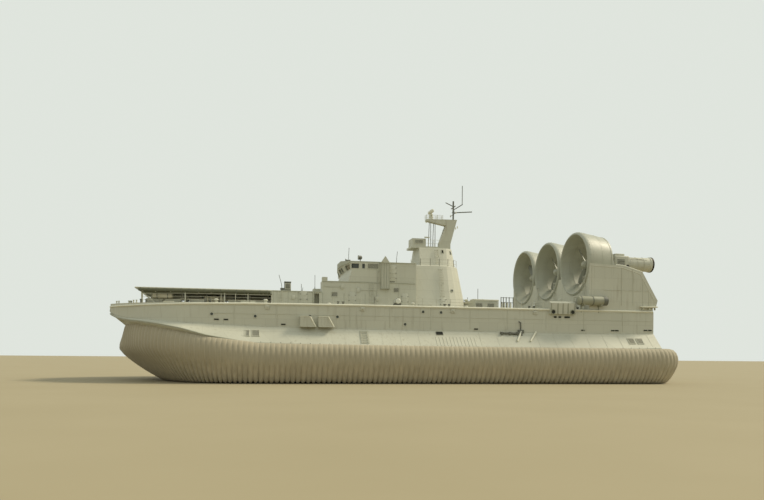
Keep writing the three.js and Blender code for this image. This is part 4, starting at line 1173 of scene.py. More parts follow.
# Side tank: a banded drum on two saddles, with a pipe at each end
tank = {
    "y": 10.8, "z": 8.4, "bands": [(-18.1, 0.05), (-19.35, 0.05), (-20.6, 0.1)], "saddles": (-18.4, -20.3),
    "shell": [(-20.95, 0.0), (-20.95, 0.3), (-20.92, 0.38), (-20.86, 0.44), (-20.75, 0.456), (-17.95, 0.456),
              (-17.84, 0.44), (-17.78, 0.38), (-17.75, 0.3), (-17.75, 0.0)],
    "soot": [(-20.95, 0.3), (-20.97, 0.3), (-20.97, 0.46), (-20.72, 0.468), (-20.72, 0.44), (-20.95, 0.3)],
    "pipes": [[(-17.5, 10.6, 7.4), (-17.5, 10.6, 8.7), (-17.78, 10.7, 8.75)],
              [(-20.9, 10.8, 8.85), (-21.3, 10.5, 8.9), (-21.3, 10.34, 8.9)]],
}


def makeTankTrims():
    middle = (0, tank["y"], tank["z"])
    bands = [moved(hoop(x, wide, 0.43, 0.475, 36), *middle) for x, wide in tank["bands"]]
    shell = moved(spun(tank["shell"], 44), *middle)
    saddles = slabs("x", tank["saddles"], 0.08, (10.32, 11.1), (7.82, 8.2), 0.03, 2)
    legs = slabs("x", tank["saddles"], 0.05, (10.3, 10.42), (7.2, 7.9), 0.02)
    # painted shade: the tank's drum, saddles, legs and pipes take the darker paint
    body = tint(fuse([shell, *saddles, *legs, pipes(tank["pipes"], 0.04, 8)]), sootAndShadePaint)
    dark = tint(fuse([moved(spun(tank["soot"], 36), *middle), *bands]), darkSteel)
    settlePair("tank_shell", fuse([body, dark]), replaces=["side_tank"])


# Houses amidships: side walls at this y, then places by x and z on them
houses = {
    "y": 5.0, "deck": 7.395, "seams": (12.4, 10.9, 9.9, 7.4, 5.2, 3.0),
    "eaves": [(7.5, 12.5, 9.13), (-2.3, 7.46, 10.24), (-2.3, 1.45, 12.35), (-11.45, -8.85, 8.7)],
    "doors": [(9.35, 8.3), (4.35, 8.3), (-1.2, 8.3), (0.1, 11.25)], "ladders": [(2.35, 2.75), (11.7, 1.65)],
    "louvres": [(0.2, 10.5), (6.2, 8.9), (-0.3, 9.5)], "boxes": ((3.75, 9.4), (1.75, 8.6), (5.4, 9.7), (10.4, 8.5)),
    "pipes": [[(1.75, 0.05, 7.6), (1.75, 0.05, 11.4), (1.45, 0.05, 11.5)], [(-0.55, 0.05, 7.6), (-0.55, 0.05, 10.1)],
              [(3.6, 0.04, 9.4), (1.8, 0.04, 9.4)], [(5.6, 0.04, 9.7), (7.2, 0.04, 9.7)]],
    "cabinet": (10.885, 3.55, 9.12),
}


def makeHouseTrims():
    y = houses["y"]
    bars = [block((x0, x1), (y - 0.03, y + 0.06), (z - 0.07, z + 0.03), 0.02, 1) for x0, x1, z in houses["eaves"]]
    bars += slabs("x", houses["seams"], 0.025, (y - 0.02, y + 0.025), (7.45, 9.05))
    bars.append(block((8.3, 8.42), (y - 0.02, y + 0.1), (7.42, 9.08), 0.02, 1))
    paintPair("house_bars", fuse(bars), "deck_paint")
    fitPair("house_doors", door(), [onWall(x, y, z) for x, z in houses["doors"]])
    climb = [put(ladder(tall), onWall(x, y, 7.45))[0] for x, tall in houses["ladders"]]
    paintPair("house_ladders", fuse(climb))
    # The upper grille stands where the wall below the wheelhouse is dark; its dark back is painted shade
    upper, low = grille(1.1, 0.5, slats=6), grille(0.6, 0.42, slats=5)
    vents = put(upper, onWall(2.2, y, 11.92)) + put(low, *[onWall(x, y, z) for x, z in houses["louvres"]])
    settlePair("house_vents", fuse(vents))

    # Pipe runs and junction boxes on the wall below the wheelhouse
    runs = pipes([[(x, y + off, z) for x, off, z in run] for run in houses["pipes"]], 0.03, 8)
    boxes = [block((x - 0.16, x + 0.16), (y - 0.01, y + 0.14), (z - 0.22, z + 0.22), 0.03, 2) for x,
             z in houses["boxes"]]
    paintPair("wall_pipes", fuse([runs, *boxes]))

    # Tall cabinet on the forward deckhouse roof, with a lid, a plinth and louvres
    case = block((-0.325, 0.325), (-0.35, 0.35), (0.08, 1.04), 0.05, 3)
    lid = block((-0.355, 0.355), (-0.38, 0.38), (0.98, 1.08), 0.03, 2)
    plinth = block((-0.345, 0.345), (-0.37, 0.37), (0.0, 0.12), 0.02, 1)
    louvres = put(grille(0.44, 0.5, slats=5), onWall(0, 0.35, 0.58))
    cabinet = fuse([tint(fuse([case, lid, plinth]), darkSteel), *louvres])
    fitPair("roof_cabinet", cabinet, [onDeck(*houses["cabinet"])])


# Vent trunk: fins down its face, a flange under the cap and one at its foot
def makeTrunkTrims():
    bars = slabs("x", (0.54, 0.82, 1.08, 1.36), 0.04, (5.33, 5.42), (9.62, 12.25), 0.015)
    bars.append(block((0.44, 1.46), (5.0, 5.44), (12.24, 12.32), 0.02, 1))
    bars.append(block((0.44, 1.46), (5.0, 5.42), (9.56, 9.64), 0.02, 1))
    paintPair("trunk_fins", fuse(bars), "hull_paint", deckPaint)


# Wheelhouse window band: z, x of the front corner at y 5, x of the middle facet; panes by place, half width
wheelhouse = {
    "rings": [(11.55, 4.4, 4.62), (12.25, 4.55, 5.0)], "middle": 1.4, "paneZ": (11.66, 12.14),
    "sidePanes": [(4.07, 0.38), (3.2, 0.14)], "frontPanes": [(3.45, 0.9), (0.7, 0.55)],
    "glassRings": [(11.58, 4.4, 4.62), (12.2, 4.54, 4.98)], "glassY": 4.88, "inset": 0.11, "glass": 0.03,
    "drum": [(-0.2, 0.0), (-0.2, 0.14), (-0.12, 0.2), (0.16, 0.22), (0.2, 0.24), (0.22, 0.22), (0.18, 0.0)],
    "lens": [(0.16, 0.0), (0.16, 0.2), (0.2, 0.19), (0.225, 0.1), (0.23, 0.0)],
    "yoke": [(3.42, 4.02, 12.88), (3.42, 4.0, 12.62), (3.42, 4.3, 12.58), (3.42, 4.6, 12.62), (3.42, 4.58, 12.88)],
    "horn": [(-0.25, 0.0), (-0.25, 0.07), (0.0, 0.05), (0.2, 0.09), (0.3, 0.17), (0.3, 0.14), (0.2, 0.0)],
    "dome": [(0.0, 0.0), (0.0, 0.2), (0.12, 0.26), (0.3, 0.24), (0.4, 0.12), (0.42, 0.0)],
}


def onFacet(y):  # a frame on the leaning front at this distance from the centre line
    (z0, c0, m0), (z1, c1, m1) = wheelhouse["rings"]
    half = wheelhouse["middle"]
    share = max(0.0, (abs(y) - half) / (5 - half))
    z = sum(wheelhouse["paneZ"]) / 2
    t = (z - z0) / (z1 - z0)
    low, high = m0 + (c0 - m0) * share, m1 + (c1 - m1) * share
    lean = Vector((high - low, 0, z1 - z0)).normalized()
    corner, middle = c0 + (c1 - c0) * t, m0 + (m1 - m0) * t
    along = Vector((0, 1, 0))
    if share:
        along = Vector(((corner - middle) * math.copysign(1, y), 5 - half, 0)).normalized()
    lean = (lean - along * lean.dot(along)).normalized()
    place = Vector((low + (high - low) * t, y, z))
    return Matrix.Translation(place) @ Matrix((along, lean, along.cross(lean))).transposed().to_4x4()


def makeWheelhouseTrims():
    look = wheelhouse
    low, high = look["paneZ"]
    tall, frames = high - low, []
    for centre, half in look["frontPanes"]:
        one = fuse(frameBars(2 * half, tall + 0.04, 0.045, 0.03))
        wiper = pipes([[(-0.2, -tall / 2, 0.04), (0.12, tall * 0.3, 0.05)]], 0.012, 6)
        frames += put(fuse([one, wiper]), onFacet(centre), onFacet(-centre))
    for x, half in look["sidePanes"]:
        port, = put(fuse(frameBars(2 * half, tall, 0.045, 0.03)), onWall(x, houses["y"], (low + high) / 2))
        frames += [port, copyOf(port, flip=True)]
    settle("window_frames", fuse(frames), hullPaint)

    # One sheet of glass stands behind all the front panes, and one behind each side's
    sheet, half, wide = [], look["middle"], look["glassY"]
    for extra in (0, look["glass"]):
        for z, corner, middle in look["glassRings"]:
            line = [(corner, wide), (middle, half), (middle, -half), (corner, -wide)]
            sheet += [(x - look["inset"] - extra, y, z) for x, y in line]
    faces = []
    for k in range(3):
        faces += [(k, k + 1, k + 5, k + 4), (k + 9, k + 8, k + 12, k + 13)]
        faces += [(k + 4, k + 5, k + 13, k + 12), (k + 1, k, k + 8, k + 9)]
    faces += [(0, 4, 12, 8), (3, 11, 15, 7)]
    panes = slabs("y", (-wide, wide), 0.015, (3.0, 4.32), (11.58, 12.2), 0)
    settle("wheelhouse_glass", fuse([closeShape(fromPoints(sheet, faces)), *panes]), glass)

    # Searchlights on their yokes, the horn and the satellite dome on the roof
    drum, lens = (moved(spun(look[name], steps), 3.45, 4.3, 12.86) for name, steps in (("drum", 28), ("lens", 24)))
    yoke = pipes([look["yoke"], [(3.42, 4.3, 12.36), (3.42, 4.3, 12.6)]], 0.035, 8)
    settlePair("searchlight", fuse([tint(fuse([drum, yoke]), darkSteel), tint(lens, whiteGel)]))
    horn = moved(spun(look["horn"], 20), 4.2, 0.9, 13.0)
    foot = block((4.1, 4.25), (0.82, 0.98), (12.7, 12.98), 0.02, 1)
    dome = moved(spun(look["dome"], 28, "z"), 2.4, -1.6, 12.62)
    settle("roof_horn", fuse([tint(fuse([horn, foot]), darkSteel), tint(dome, whiteGel)]))


# Whip aerials: foot x, y, z and the tip's shift aft and height
whips = [
    ((4.5, 3.2, 12.5), 0.05, 1.5), ((-0.45, 4.2, 12.35), 0.1, 1.3), ((11.42, 3.6, 9.13), -0.35, 1.75),
    ((9.45, 3.4, 9.13), 0.0, 0.9), ((9.2, 1.2, 9.13), 0.1, 0.75), ((7.3, -3.9, 10.24), 0.0, 1.6),
]


def makeWhips():
    stems, feet = [], []
    for (x, y, z), lean, tall in whips:
        stems.append([(x, y, z), (x - lean * 0.3, y, z + tall * 0.5), (x - lean, y, z + tall)])
        foot = spun([(0.0, 0.0), (0.0, 0.07), (0.04, 0.07), (0.1, 0.045), (0.25, 0.035), (0.25, 0.0)], 12, "z")
        feet.append(moved(foot, x, y, z - 0.01))
    settle("whip_aerials", fuse([pipes(stems, 0.025, 8), *feet]), darkSteel)


# Mast tower: z, front x, aft x, half breadth, corner radius
towerRings = [
    (7.4, -2.4, -8.8, 5.0, 3.4), (12.35, -2.4, -7.95, 3.5, 2.4), (12.6, -3.5, -7.9, 2.3, 1.8),
    (14.6, -3.6, -7.57, 1.5, 1.2),
]
tower = {
    "slots": [(-6.2, 14.2), (-7.2, 14.15), (-3.85, 13.05)], "ports": [(-4.45, 9.7), (-6.6, 9.7), (-4.3, 11.3)],
    "rail": (-2.6, -3.4, -4.4, -5.4, -6.4, -7.2, -7.7), "railZ": 12.38,
}


def onTower(x, z):
    for low, high in zip(towerRings, towerRings[1:]):
        if z <= high[0]:
            break
    t = (z - low[0]) / (high[0] - low[0])
    _, front, aft, half, corner = (a + (b - a) * t for a, b in zip(low, high))
    lean = math.atan((low[3] - high[3]) / (high[0] - low[0]))
    middle = front - corner if x > front - corner else aft + corner if x < aft + corner else x
    turn = math.asin(max(-1, min(1, (x - middle) / corner)))
    place = Vector((x, half - corner + corner * math.cos(turn), z))
    tilt = Matrix.Rotation(lean, 4, "X") @ Matrix(((-1, 0, 0), (0, 0, 1), (0, 1, 0))).to_4x4()
    return Matrix.Translation(place) @ Matrix.Rotation(-turn, 4, "Z") @ tilt


def makeTowerTrims():
    frame = tint(fuse(frameBars(0.2, 0.36, 0.04, 0.04)), hullPaint)
    # painted shade: a near-black plate fills each slot
    slot = fuse([frame, tint(block((-0.1, 0.1), (-0.18, 0.18), (-0.06, 0.012), 0), openingShade)])
    holes = put(slot, *[onTower(*place) for place in tower["slots"]])
    holes += put(porthole(0.12), *[onTower(*place) for place in tower["ports"]])
    settlePair("tower_ports", fuse(holes))
    steps = put(ladder(3.3, 0.4), onTower(-5.4, 8.9)) + put(ladder(1.8, 0.36), onTower(-5.5, 12.75))
    paintPair("tower_ladders", fuse(steps))
    fitPair("tower_doors", door(0.66, 1.5), [onTower(-5.45, 8.1)])
    ledge = [onTower(x, 12.32).translation for x in tower["rail"]]
    paintPair("tower_shoulder_rail", railing([(p.x, p.y - 0.25, tower["railZ"]) for p in ledge], 0.8, 1.1, 2))


# Mast: feet and heads of the stays by x, y and z on one side, lamps, and the platform's rail
mast = {
    "stays": [((-5.15, 0.55, 14.78), (-5.2, 0.3, 17.85)), ((-5.65, 0.55, 14.78), (-5.7, 0.3, 17.85))],
    "steps": 6, "yards": [(18.7, 1.05), (19.0, 0.5)],
    "lamps": [(-7.9, 1.05, 18.7), (-7.9, -1.05, 18.7), (-8.3, 0.36, 17.2), (-8.3, -0.36, 17.2), (-4.75, 0.0, 17.72)],
    "lamp": [(-0.1, 0.0), (-0.1, 0.06), (0.1, 0.06), (0.14, 0.03), (0.14, 0.0)],
}


def makeMastTrims():
    stays = [[(x, y * side, z) for x, y, z in stay] for stay in mast["stays"] for side in (-1, 1)]
    steps = [[(-6.34 - 0.075 * k, y, 15.4 + 0.3 * k) for y in (0.15, -0.15)] for k in range(mast["steps"])]
    yards = [[(-7.9, -half, z), (-7.9, half, z)] for z, half in mast["yards"]]
    rods = fuse([pipes(stays, 0.035, 8), pipes(steps, 0.02, 6), pipes(yards, 0.03, 8)])
    settle("mast_stays", rods, darkSteel)
    lamps = [moved(spun(mast["lamp"], 16, "z"), *place) for place in mast["lamps"]]
    settle("mast_lamps", fuse(lamps), whiteGel)
    upper = railing([(-4.7, 0.28, 18.0), (-6.6, 0.28, 18.02)], 0.5, 0.6, 2)
    lower = railing([(-6.0, 1.15, 14.8), (-4.7, 1.15, 14.8)], 0.75, 0.65, 2)
    boards = slabs("y", (-0.975, 0.975), 0.025, (-4.9, -4.3), (15.75, 15.9))
    rails = [upper, copyOf(upper, flip=True), lower, copyOf(lower, flip=True), *boards]
    settle("mast_rails", fuse(rails), hullPaint)
    fitPair("lookout_louvres", grille(0.9, 0.34, slats=5), [onWall(-3.72, 0.9, 15.35)])


# Radar: a scanner bar with its feed on a hub, above a round pedestal
radar = {
    "x": -5.3,
    "hub": [(18.46, 0.0), (18.46, 0.17), (18.52, 0.2), (18.6, 0.2), (18.68, 0.12), (18.78, 0.1), (18.78, 0.0)],
    "pedestal": [(17.95, 0.0), (17.95, 0.3), (18.05, 0.3), (18.1, 0.25), (18.38, 0.235), (18.42, 0.2), (18.42, 0.0)],
}


def makeRadar():
    bar = block((-5.46, -5.14), (-0.75, 0.75), (18.72, 19.06), 0.09, 4)
    feed = block((-5.2, -5.08), (-0.62, 0.62), (18.78, 19.0), 0.04, 3)
    hub, pedestal = (moved(spun(radar[name], 32, "z"), radar["x"], 0, 0) for name in ("hub", "pedestal"))
    scanner = fuse([bar, feed, hub])
    settle("radar_bar", scanner, whiteGel, body="radar_scanner", replaces=["radar_scanner"])
    settle("radar_pedestal_cover", pedestal, whiteGel)


# Shelter on the foredeck: near-white edges of painted highlight, dark rolled awnings and girders of painted shade,
# beams, a near-white lining of painted light, and gear stowed along both sides
shelter = {
    "aft": 12.6, "fore": 25.68, "half": 5.0, "under": 8.8, "top": 9.15, "ties": 17, "tiePitch": 0.76,
    "beams": (13.4, 14.9, 16.1, 17.2, 18.5, 19.7, 21.0, 22.4, 23.8, 25.0), "girders": (-4.75, 4.75),
    "seams": (14.2, 16.2, 18.2, 20.2, 22.2, 24.2), "lockers": (24.0, 22.2, 19.9, 16.1, 13.6),
    "rolls": [(18.2, 4.1, 7.72), (21.1, 2.2, 7.72), (15.0, 2.6, 7.72), (18.3, 3.4, 7.72), (18.25, 3.75, 8.2),
              (23.2, 4.3, 8.42)],
    "roll": [(-0.95, 0.0), (-0.95, 0.2), (-0.9, 0.27), (-0.3, 0.3), (0.3, 0.29), (0.9, 0.27), (0.95, 0.2),
             (0.95, 0.0)],
    "pumps": [(20.9, 4.0), (14.6, 4.2)],
}


def makeShelterTrims():
    look = shelter
    aft, fore, half, under, top = (look[name] for name in ("aft", "fore", "half", "under", "top"))
    # painted highlight: near-white bars along the roof's lit edges
    edges = slabs("y", (-half, half), 0.04, (aft, fore), (top - 0.06, top + 0.02), 0.02, 2)
    nose = block((fore - 0.02, fore + 0.06), (-half - 0.03, half + 0.03), (top - 0.1, top + 0.02), 0.02, 2)
    settle("canopy_edge", fuse([*edges, nose]), whitePaintAndPaintedLight)
    # The rolled awnings are dark: painted shade along the roof's fascia
    outside, middle = (-half - 0.01, half + 0.01), under + 0.14
    rolls = pipes([[(aft + 0.1, y, middle), (fore - 0.3, y, middle)] for y in outside], 0.16, 14)
    ties = []
    for k in range(look["ties"]):
        x = aft + 0.4 + look["tiePitch"] * k
        ties += slabs("y", outside, 0.17, (x - 0.02, x + 0.02), (middle - 0.175, middle + 0.175))
    settle("awning_rolls", fuse([tint(rolls, awningShade), tint(fuse(ties), darkSteel)]))
    beams = slabs("x", look["beams"], 0.05, (-4.9, 4.9), (under - 0.06, under))
    # The girders take the dark awning cloth: painted shade under the roof
    girders = slabs("y", look["girders"], 0.06, (aft + 0.02, 25.1), (under - 0.18, under), 0.02)
    settle("canopy_beams", fuse([tint(fuse(beams), hullPaint), tint(fuse(girders), awningShade)]))
    # painted light: the near-white lining lifts the shaded underside of the roof
    lining = block((aft + 0.05, 25.15), (-4.65, 4.65), (under - 0.02, under - 0.004), 0)
    settle("canopy_lining", lining, whitePaintAndPaintedLight)
    seams = slabs("x", look["seams"], 0.06, (-4.96, 4.96), (top - 0.01, top + 0.02))
    settle("canopy_seams", fuse(seams), deckPaint)

    crate, floor = locker(1.5, 0.7, 0.72), 7.42
    fitPair("stowage_lockers", crate, [onDeck(x, 3.7, floor) for x in look["lockers"]], hullPaint)
    roll = tint(spun(look["roll"], 24), canvas)
    straps = tint(fuse([hoop(x, 0.04, 0.27, 0.31, 24) for x in (-0.5, 0.5)]), darkSteel)
    fitPair("canvas_rolls", fuse([roll, straps]), [onDeck(*place) for place in look["rolls"]])
    pump = fuse([block((-0.35, 0.35), (-0.25, 0.25), (0.0, 0.35), 0.04, 2),
                 block((-0.2, 0.2), (-0.16, 0.16), (0.3, 0.62), 0.06, 3)])
    fitPair("fire_pumps", pump, [onDeck(x, y, floor) for x, y in look["pumps"]], darkSteel)


# Deck fittings: x, y on the port side, and each is mirrored
deckFittings = {
    "hatches": [(11.6, 7.4), (5.4, 8.4), (-5.9, 8.2), (-12.9, 7.0), (22.4, 6.9)],
    "vents": [(13.3, 8.9), (6.9, 6.2), (-1.1, 8.9), (-7.4, 6.6), (-13.9, 8.9), (17.9, 8.2)],
    "bollards": [(24.6, 7.2), (18.6, 9.6), (6.2, 9.7), (-4.4, 9.7), (-13.3, 9.7), (-18.3, 9.3)],
    "fans": [(9.0, 7.6), (2.6, 7.4), (-9.9, 7.2)],
    "lockers": [(14.9, 6.1), (-3.0, 6.4), (-16.4, 6.2)],
    "posts": (-10.11, -10.36, -10.66, -10.98, -11.4),
    "bottles": (-10.24, -10.5, -10.82, -11.18),
    "bottle": [(7.4, 0.0), (7.4, 0.09), (8.0, 0.09), (8.1, 0.05), (8.18, 0.04), (8.2, 0.0)],
    # each stretch of guard rail: x of its corners and the spacing of its stanchions
    "rails": [((12.8, 14.8, 18.7, 20.9, 23.0, 24.6), 1.5), ((7.0, 3.0, 1.6), 1.35), ((-0.4, -6.0, -9.6), 1.4),
              ((-12.0, -14.4), 1.2)],
    "raft": (0.62, 0, 7.96), "belts": (9.25, 9.85),
    "shell": [(9.0, 0.0), (9.0, 0.2), (9.04, 0.25), (9.5, 0.26), (9.52, 0.275), (9.58, 0.275), (9.6, 0.26),
              (10.06, 0.25), (10.1, 0.2), (10.1, 0.0)],
}


def fanIntake():  # the lift fans draw air through a screened ring in the side deck
    ring = [(-0.02, 1.0), (-0.02, 1.2), (0.12, 1.18), (0.18, 1.1), (0.16, 1.02), (0.06, 1.0)]
    ring = spun(ring + ring[:1], 56, "z")
    # painted shade: a near-black disc under the screen stands for the fan's unlit well
    well = spun([(-0.01, 0.0), (-0.01, 1.04), (0.02, 1.04), (0.02, 0.0)], 56, "z")
    hub = spun([(0.0, 0.0), (0.0, 0.3), (0.12, 0.26), (0.16, 0.0)], 32, "z")
    spokes = []
    for k in range(8):
        x, y = 0.98 * math.sin(math.pi * k / 8), 0.98 * math.cos(math.pi * k / 8)
        spokes.append([(-x, -y, 0.09), (x, y, 0.09)])
    bars = [pipes(spokes, 0.022, 6)]
    for radius in (0.5, 0.76):
        angles = [math.tau * k / 32 for k in range(33)]
        bars.append(pipes([[(radius * math.cos(a), radius * math.sin(a), 0.1) for a in angles]], 0.018, 6))
    return fuse([tint(fuse([ring, hub]), hullPaint), tint(well, openingShade), tint(fuse(bars), darkSteel)])


def makeDeckFittings():
    look, places = deckFittings, {}
    for name in ("hatches", "vents", "bollards", "fans", "lockers"):
        places[name] = [onDeck(x, y, houses["deck"]) for x, y in look[name]]
    fitPair("deck_hatches", hatch(), places["hatches"], hullPaint)
    fitPair("mushroom_vents", mushroomVent(), places["vents"], hullPaint)
    fitPair("bollards", bollards(), places["bollards"], darkSteel)
    fitPair("fan_intakes", fanIntake(), places["fans"])
    fitPair("deck_lockers", locker(1.4, 0.6, 0.55), places["lockers"], hullPaint)

    # Guard rails just inside the deck's edge
    rails = []
    for corners, spacing in look["rails"]:
        path = [(x, hullAt(x)[5] - 0.22, hullAt(x)[6]) for x in corners]
        rails.append(railing(path, 0.85, spacing, 3))
    paintPair("guard_rails", fuse(rails))

    # Life raft canister athwart the side deck, and the post rack by the after deckhouse
    raft = tint(moved(spun(look["shell"], 32, "y"), *look["raft"]), whiteGel)
    cradle = slabs("y", look["belts"], 0.03, (0.3, 0.94), (7.4, 7.78), 0.02)
    belts = [moved(hoop(y, 0.03, 0.25, 0.275, 32, "y"), *look["raft"]) for y in look["belts"]]
    settlePair("life_raft", fuse([raft, tint(fuse([*cradle, *belts]), darkSteel)]))
    posts = pipes([[(x, 9.5, 7.38), (x, 9.5, 8.66)] for x in look["posts"]], 0.045, 8)
    cross = pipes([[(look["posts"][0], 9.5, z), (look["posts"][-1], 9.5, z)] for z in (8.1, 8.6)], 0.025, 8)
    paintPair("post_rack", fuse([posts, cross]), "dark_steel")
    bottles = [moved(spun(look["bottle"], 16, "z"), x, 9.4, 0) for x in look["bottles"]]
    paintPair("gas_bottles", fuse(bottles), "white_paint", whitePaintAndPaintedLight)


# After deckhouse: bright roof edge, lids and vents on the roof, louvres, doors and two aerials
def makeAfterHouseTrims():
    roof, top = slabs("y", (-5.03, 5.03), 0.05, (-11.52, -8.82), (8.62, 8.76), 0.02, 2), 8.69
    roof.append(block((-11.54, -11.44), (-5.05, 5.05), (8.62, 8.76), 0.02, 2))
    settle("after_roof_edge", fuse(roof), whitePaintAndPaintedLight)
    lids = put(hatch(1.1, 1.3), onDeck(-10.1, 2.2, top), onDeck(-10.1, -2.2, top))
    vents = put(mushroomVent(0.4, 0.22), onDeck(-9.3, 0.7, top), onDeck(-10.9, -0.7, top))
    settle("after_roof_gear", fuse(lids + vents), hullPaint)
    fitPair("after_house_vents", grille(0.8, 0.5, slats=6), [onWall(x, 5.0, 8.1) for x in (-10.6, -9.3)])
    entry = put(door(0.66, 1.1), onFront(-11.47, 1.6, 8.05, -1), onFront(-11.47, -1.6, 8.05, -1))
    settle("after_house_doors", fuse(entry))
    aerial = pipes([[(-9.6, 3.8, 8.68), (-9.6, 3.8, 10.0)], [(-10.9, -3.8, 8.68), (-10.9, -3.8, 9.7)]], 0.03, 8)
    settle("after_house_whips", aerial, darkSteel)


# Stern side walls by x and z, the housing between them and the transom
stern = {
    "y": 10.35, "housing": -19.3, "roofRibs": (1.5, 3.4, 5.4, 8.5), "roofFrom": (-25.2, 9.2), "roofSlope": 0.172,
    "outline": [(-19.55, 8.1), (-19.55, 12.05), (-23.0, 11.9), (-24.98, 11.32), (-26.62, 8.55), (-26.62, 8.1)],
    "posts": [(-22.9, 11.9), (-24.2, 11.5), (-25.3, 10.75), (-26.0, 9.55)], "knees": (-25.2, -25.9, -26.6),
    "cap": [(-22.3, 12.2), (-23.1, 12.17), (-25.25, 11.56), (-27.0, 8.6), (-26.82, 8.0)],
    "frames": (4.4, 5.9, 7.4, 8.9, 10.2), "eye": [(-26.48, 6.5), (-26.8, 6.5), (-26.8, 6.8), (-26.48, 6.8)],
}


def makeSternTrims():
    y = stern["y"]
    border = pipes([[(x, y, z) for x, z in stern["outline"]]], 0.04, 8)
    bars = [block((x - 0.035, x + 0.035), (y - 0.02, y + 0.05), (8.05, top), 0.012, 1) for x, top in stern["posts"]]
    bars.append(block((-26.0, -20.9), (y - 0.02, y + 0.035), (9.55, 9.62), 0.012, 1))
    paintPair("side_wall_frames", fuse([border, *bars]))
    ledge = tint(block((-26.84, -24.95), (y - 0.04, y + 0.3), (7.86, 8.0), 0.03, 2), whitePaintAndPaintedLight)
    knees = slabs("x", stern["knees"], 0.03, (y - 0.02, y + 0.24), (7.6, 7.88))
    settlePair("side_wall_ledge", fuse([ledge, tint(fuse(knees), hullPaint)]))
    paintPair("side_wall_cap", pipes([[(x, 10.18, z) for x, z in stern["cap"]]], 0.09, 10))

    # Front of the housing: a door below the gap between two ducts, ladders and louvres, and ribs on its roof
    x = stern["housing"]
    entry = put(door(0.7, 1.7), onFront(x, 3.49, 8.35))
    steps = put(ladder(3.6), onFront(x, 2.3, 7.5), onFront(x, 9.4, 7.5))
    vents = put(grille(1.3, 0.6, slats=7), onFront(x, 0.9, 8.3), onFront(x, 6.9, 8.3))
    settlePair("housing_front", fuse(entry + vents + [tint(fuse(steps), hullPaint)]))
    ribs = slabs("y", stern["roofRibs"], 0.04, (-25.1, -22.4), (9.15, 9.75), 0.02)
    (start, foot), slope = stern["roofFrom"], stern["roofSlope"]
    for rib in ribs:
        for vertex in rib.data.vertices:
            vertex.co.z = foot + (vertex.co.x - start) * slope + (0.07 if vertex.co.z > 9.5 else -0.05)
    paintPair("housing_roof_ribs", fuse(ribs))

    # Transom: frames, rubber fenders, a towing eye and a ladder on each side of the ramp
    bars = slabs("y", stern["frames"], 0.04, (-26.56, -26.49), (4.1, 7.3), 0.015)
    bars += slabs("z", (5.2, 6.3), 0.035, (-26.55, -26.49), (4.4, 10.2), 0.015)
    paintPair("transom_frames", fuse(bars))
    fitPair("transom_ladders", ladder(3.1), [onFront(-26.5, 9.5, 4.2, -1)], hullPaint)
    pads = slabs("y", (4.75, 8.15), 0.14, (-26.75, -26.49), (4.6, 7.2), 0.06, 3)
    paintPair("transom_fenders", fuse(pads), "dark_steel", fenderRubber)
    paintPair("towing_eyes", pipes([[(x, y, 5.75) for x, y in stern["eye"]]], 0.06, 10), "dark_steel")


# Ramps: x and z of the foot and the top of each face, and y of the bars on it
ramps = {
    "bowIn": ((26.31, 5.11), (27.9, 7.05)), "bowOut": ((26.43, 5.03), (28.42, 6.86)),
    "bowBars": (-2.3, -1.4, -0.5, 0.5, 1.4, 2.3),
    "sternIn": ((-26.0, 4.05), (-26.12, 7.0)), "sternOut": ((-26.17, 4.1), (-26.34, 7.0)),
    "lugs": (-2.2, -0.8, 0.8, 2.2),
    "sternBars": (-3.6, -2.2, -0.75, 0.75, 2.2, 3.6),
}


def slantedBars(face, off, spots, width):  # section outlines of flat bars standing on a slanted face
    foot, top = Vector(face[0]), Vector(face[1])
    along = (top - foot).normalized()
    normal = Vector((-along.y, along.x)) * (1 if off > 0 else -1)
    made = []
    for spot in spots:
        a, b = foot + along * (spot - width / 2), foot + along * (spot + width / 2)
        corners = (a - normal * 0.02, b - normal * 0.02, b + normal * abs(off), a + normal * abs(off))
        made.append([tuple(corner) for corner in corners])
    return made


def makeRampTrims():
    look = ramps
    treads = slantedBars(look["bowIn"], 0.035, [0.3 + 0.26 * k for k in range(9)], 0.05)
    bars = [plate("y", outline, -2.5, 2.5, 0.008, 1) for outline in treads]
    side = slantedBars(look["bowIn"], 0.1, [1.3], 2.3)[0]
    bars += [plate("y", side, y - 0.04, y + 0.04, 0.015, 1) for y in (-2.6, 2.6)]
    out = slantedBars(look["bowOut"], -0.03, [1.35], 2.4)[0]
    bars += [plate("y", out, y - 0.05, y + 0.05, 0.01, 1) for y in look["bowBars"]]
    settle("bow_ramp_bars", fuse(bars), hullPaint, body="bow_ramp")
    fender = block((28.22, 28.66), (-0.72, 0.72), (6.9, 7.32), 0.08, 4)
    settle("bow_fender_pad", fender, fenderRubber, body="bow_ramp")
    lugs = slabs("y", look["lugs"], 0.06, (26.3, 26.44), (4.97, 5.16), 0.02)
    settle("bow_hinge_lugs", fuse(lugs), darkSteel, body="bow_ramp")

    treads = slantedBars(look["sternIn"], -0.03, [0.3 + 0.27 * k for k in range(10)], 0.05)
    bars = [plate("y", outline, -3.7, 3.7, 0.008, 1) for outline in treads]
    out = slantedBars(look["sternOut"], 0.03, [1.75], 2.1)[0]
    bars += [plate("y", out, y - 0.05, y + 0.05, 0.012, 1) for y in look["sternBars"]]
    settle("stern_ramp_bars", fuse(bars), hullPaint, body="stern_ramp")


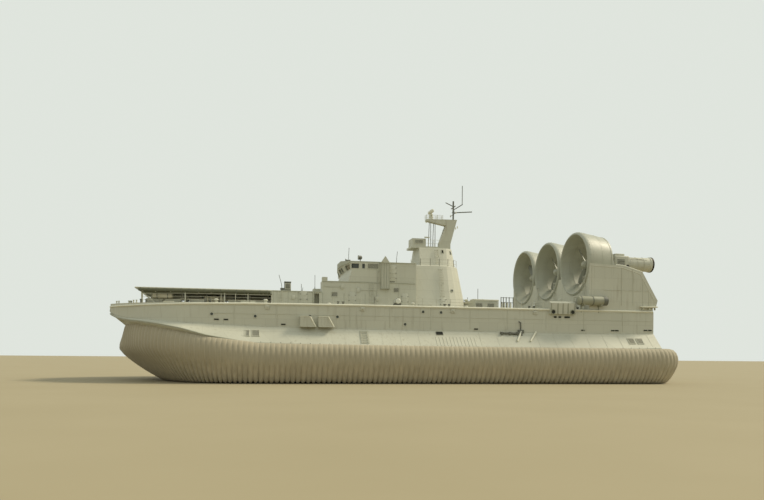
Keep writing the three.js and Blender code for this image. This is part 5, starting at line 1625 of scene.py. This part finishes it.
# Hold: frames and stringers on both walls, lashing points in the floor
def makeHoldTrims():
    frames = slabs("x", range(-25, 22, 2), 0.05, (3.945, 4.01), (4.0, 7.12))
    frames += slabs("z", (4.9, 6.2), 0.05, (-25.9, 21.0), (3.95, 4.01))
    paintPair("hold_frames", fuse(frames))
    pad = spun([(0.0, 0.0), (0.0, 0.12), (0.02, 0.1), (0.02, 0.0)], 12, "z")
    places = [onDeck(x, y, 4.0) for x in range(-24, 21, 3) for y in (-3.0, -1.0, 1.0, 3.0)]
    settle("lashing_points", fuse(put(pad, *places)), bareMetal)


# Bow: fairleads, a capstan on each side and the cheeks beside the ramp
bowGear = {
    "leads": [(27.45, 4.55), (27.2, 4.85), (25.6, 6.6), (25.3, 6.85)],
    "roller": [(0.0, 0.0), (0.0, 0.09), (0.04, 0.09), (0.08, 0.06), (0.2, 0.06), (0.24, 0.09), (0.28, 0.09),
               (0.28, 0.0)],
    "drum": [(0.0, 0.0), (0.0, 0.28), (0.07, 0.28), (0.12, 0.19), (0.3, 0.16), (0.38, 0.22), (0.43, 0.19),
             (0.43, 0.0)],
}


def makeBowTrims():
    roller, drum = spun(bowGear["roller"], 16, "z"), spun(bowGear["drum"], 28, "z")
    fitPair("fairleads", roller, [onDeck(x, y, 7.48) for x, y in bowGear["leads"]], hullPaint)
    fitPair("capstans", drum, [onDeck(26.3, 3.9, 7.44)], hullPaint)
    paintPair("bow_cheeks", fuse(slabs("y", (3.3, 3.7), 0.03, (27.7, 28.2), (6.72, 7.2), 0.02)))


makeCamera()
makeLight()
makeFloor()
dressNodes()
stages = {
    "skirt": [makeSkirt],
    "ducts": [makeDucts, makePropellers, makeNacelles, makeRudders],
    "hull": [makeHullTrims, makeStrakeFittings, makeWallFittings, makeHoodTrims, makeCasingTrims, makeTankTrims],
    "houses": [makeHouseTrims, makeTrunkTrims, makeWheelhouseTrims, makeWhips, makeTowerTrims, makeMastTrims,
               makeRadar],
    "deck and stern": [makeShelterTrims, makeDeckFittings, makeAfterHouseTrims, makeSternTrims],
    "ramps and bow": [makeRampTrims, makeHoldTrims, makeBowTrims],
}
for stage, makers in stages.items():
    print(stage)
    for make in makers:
        make()
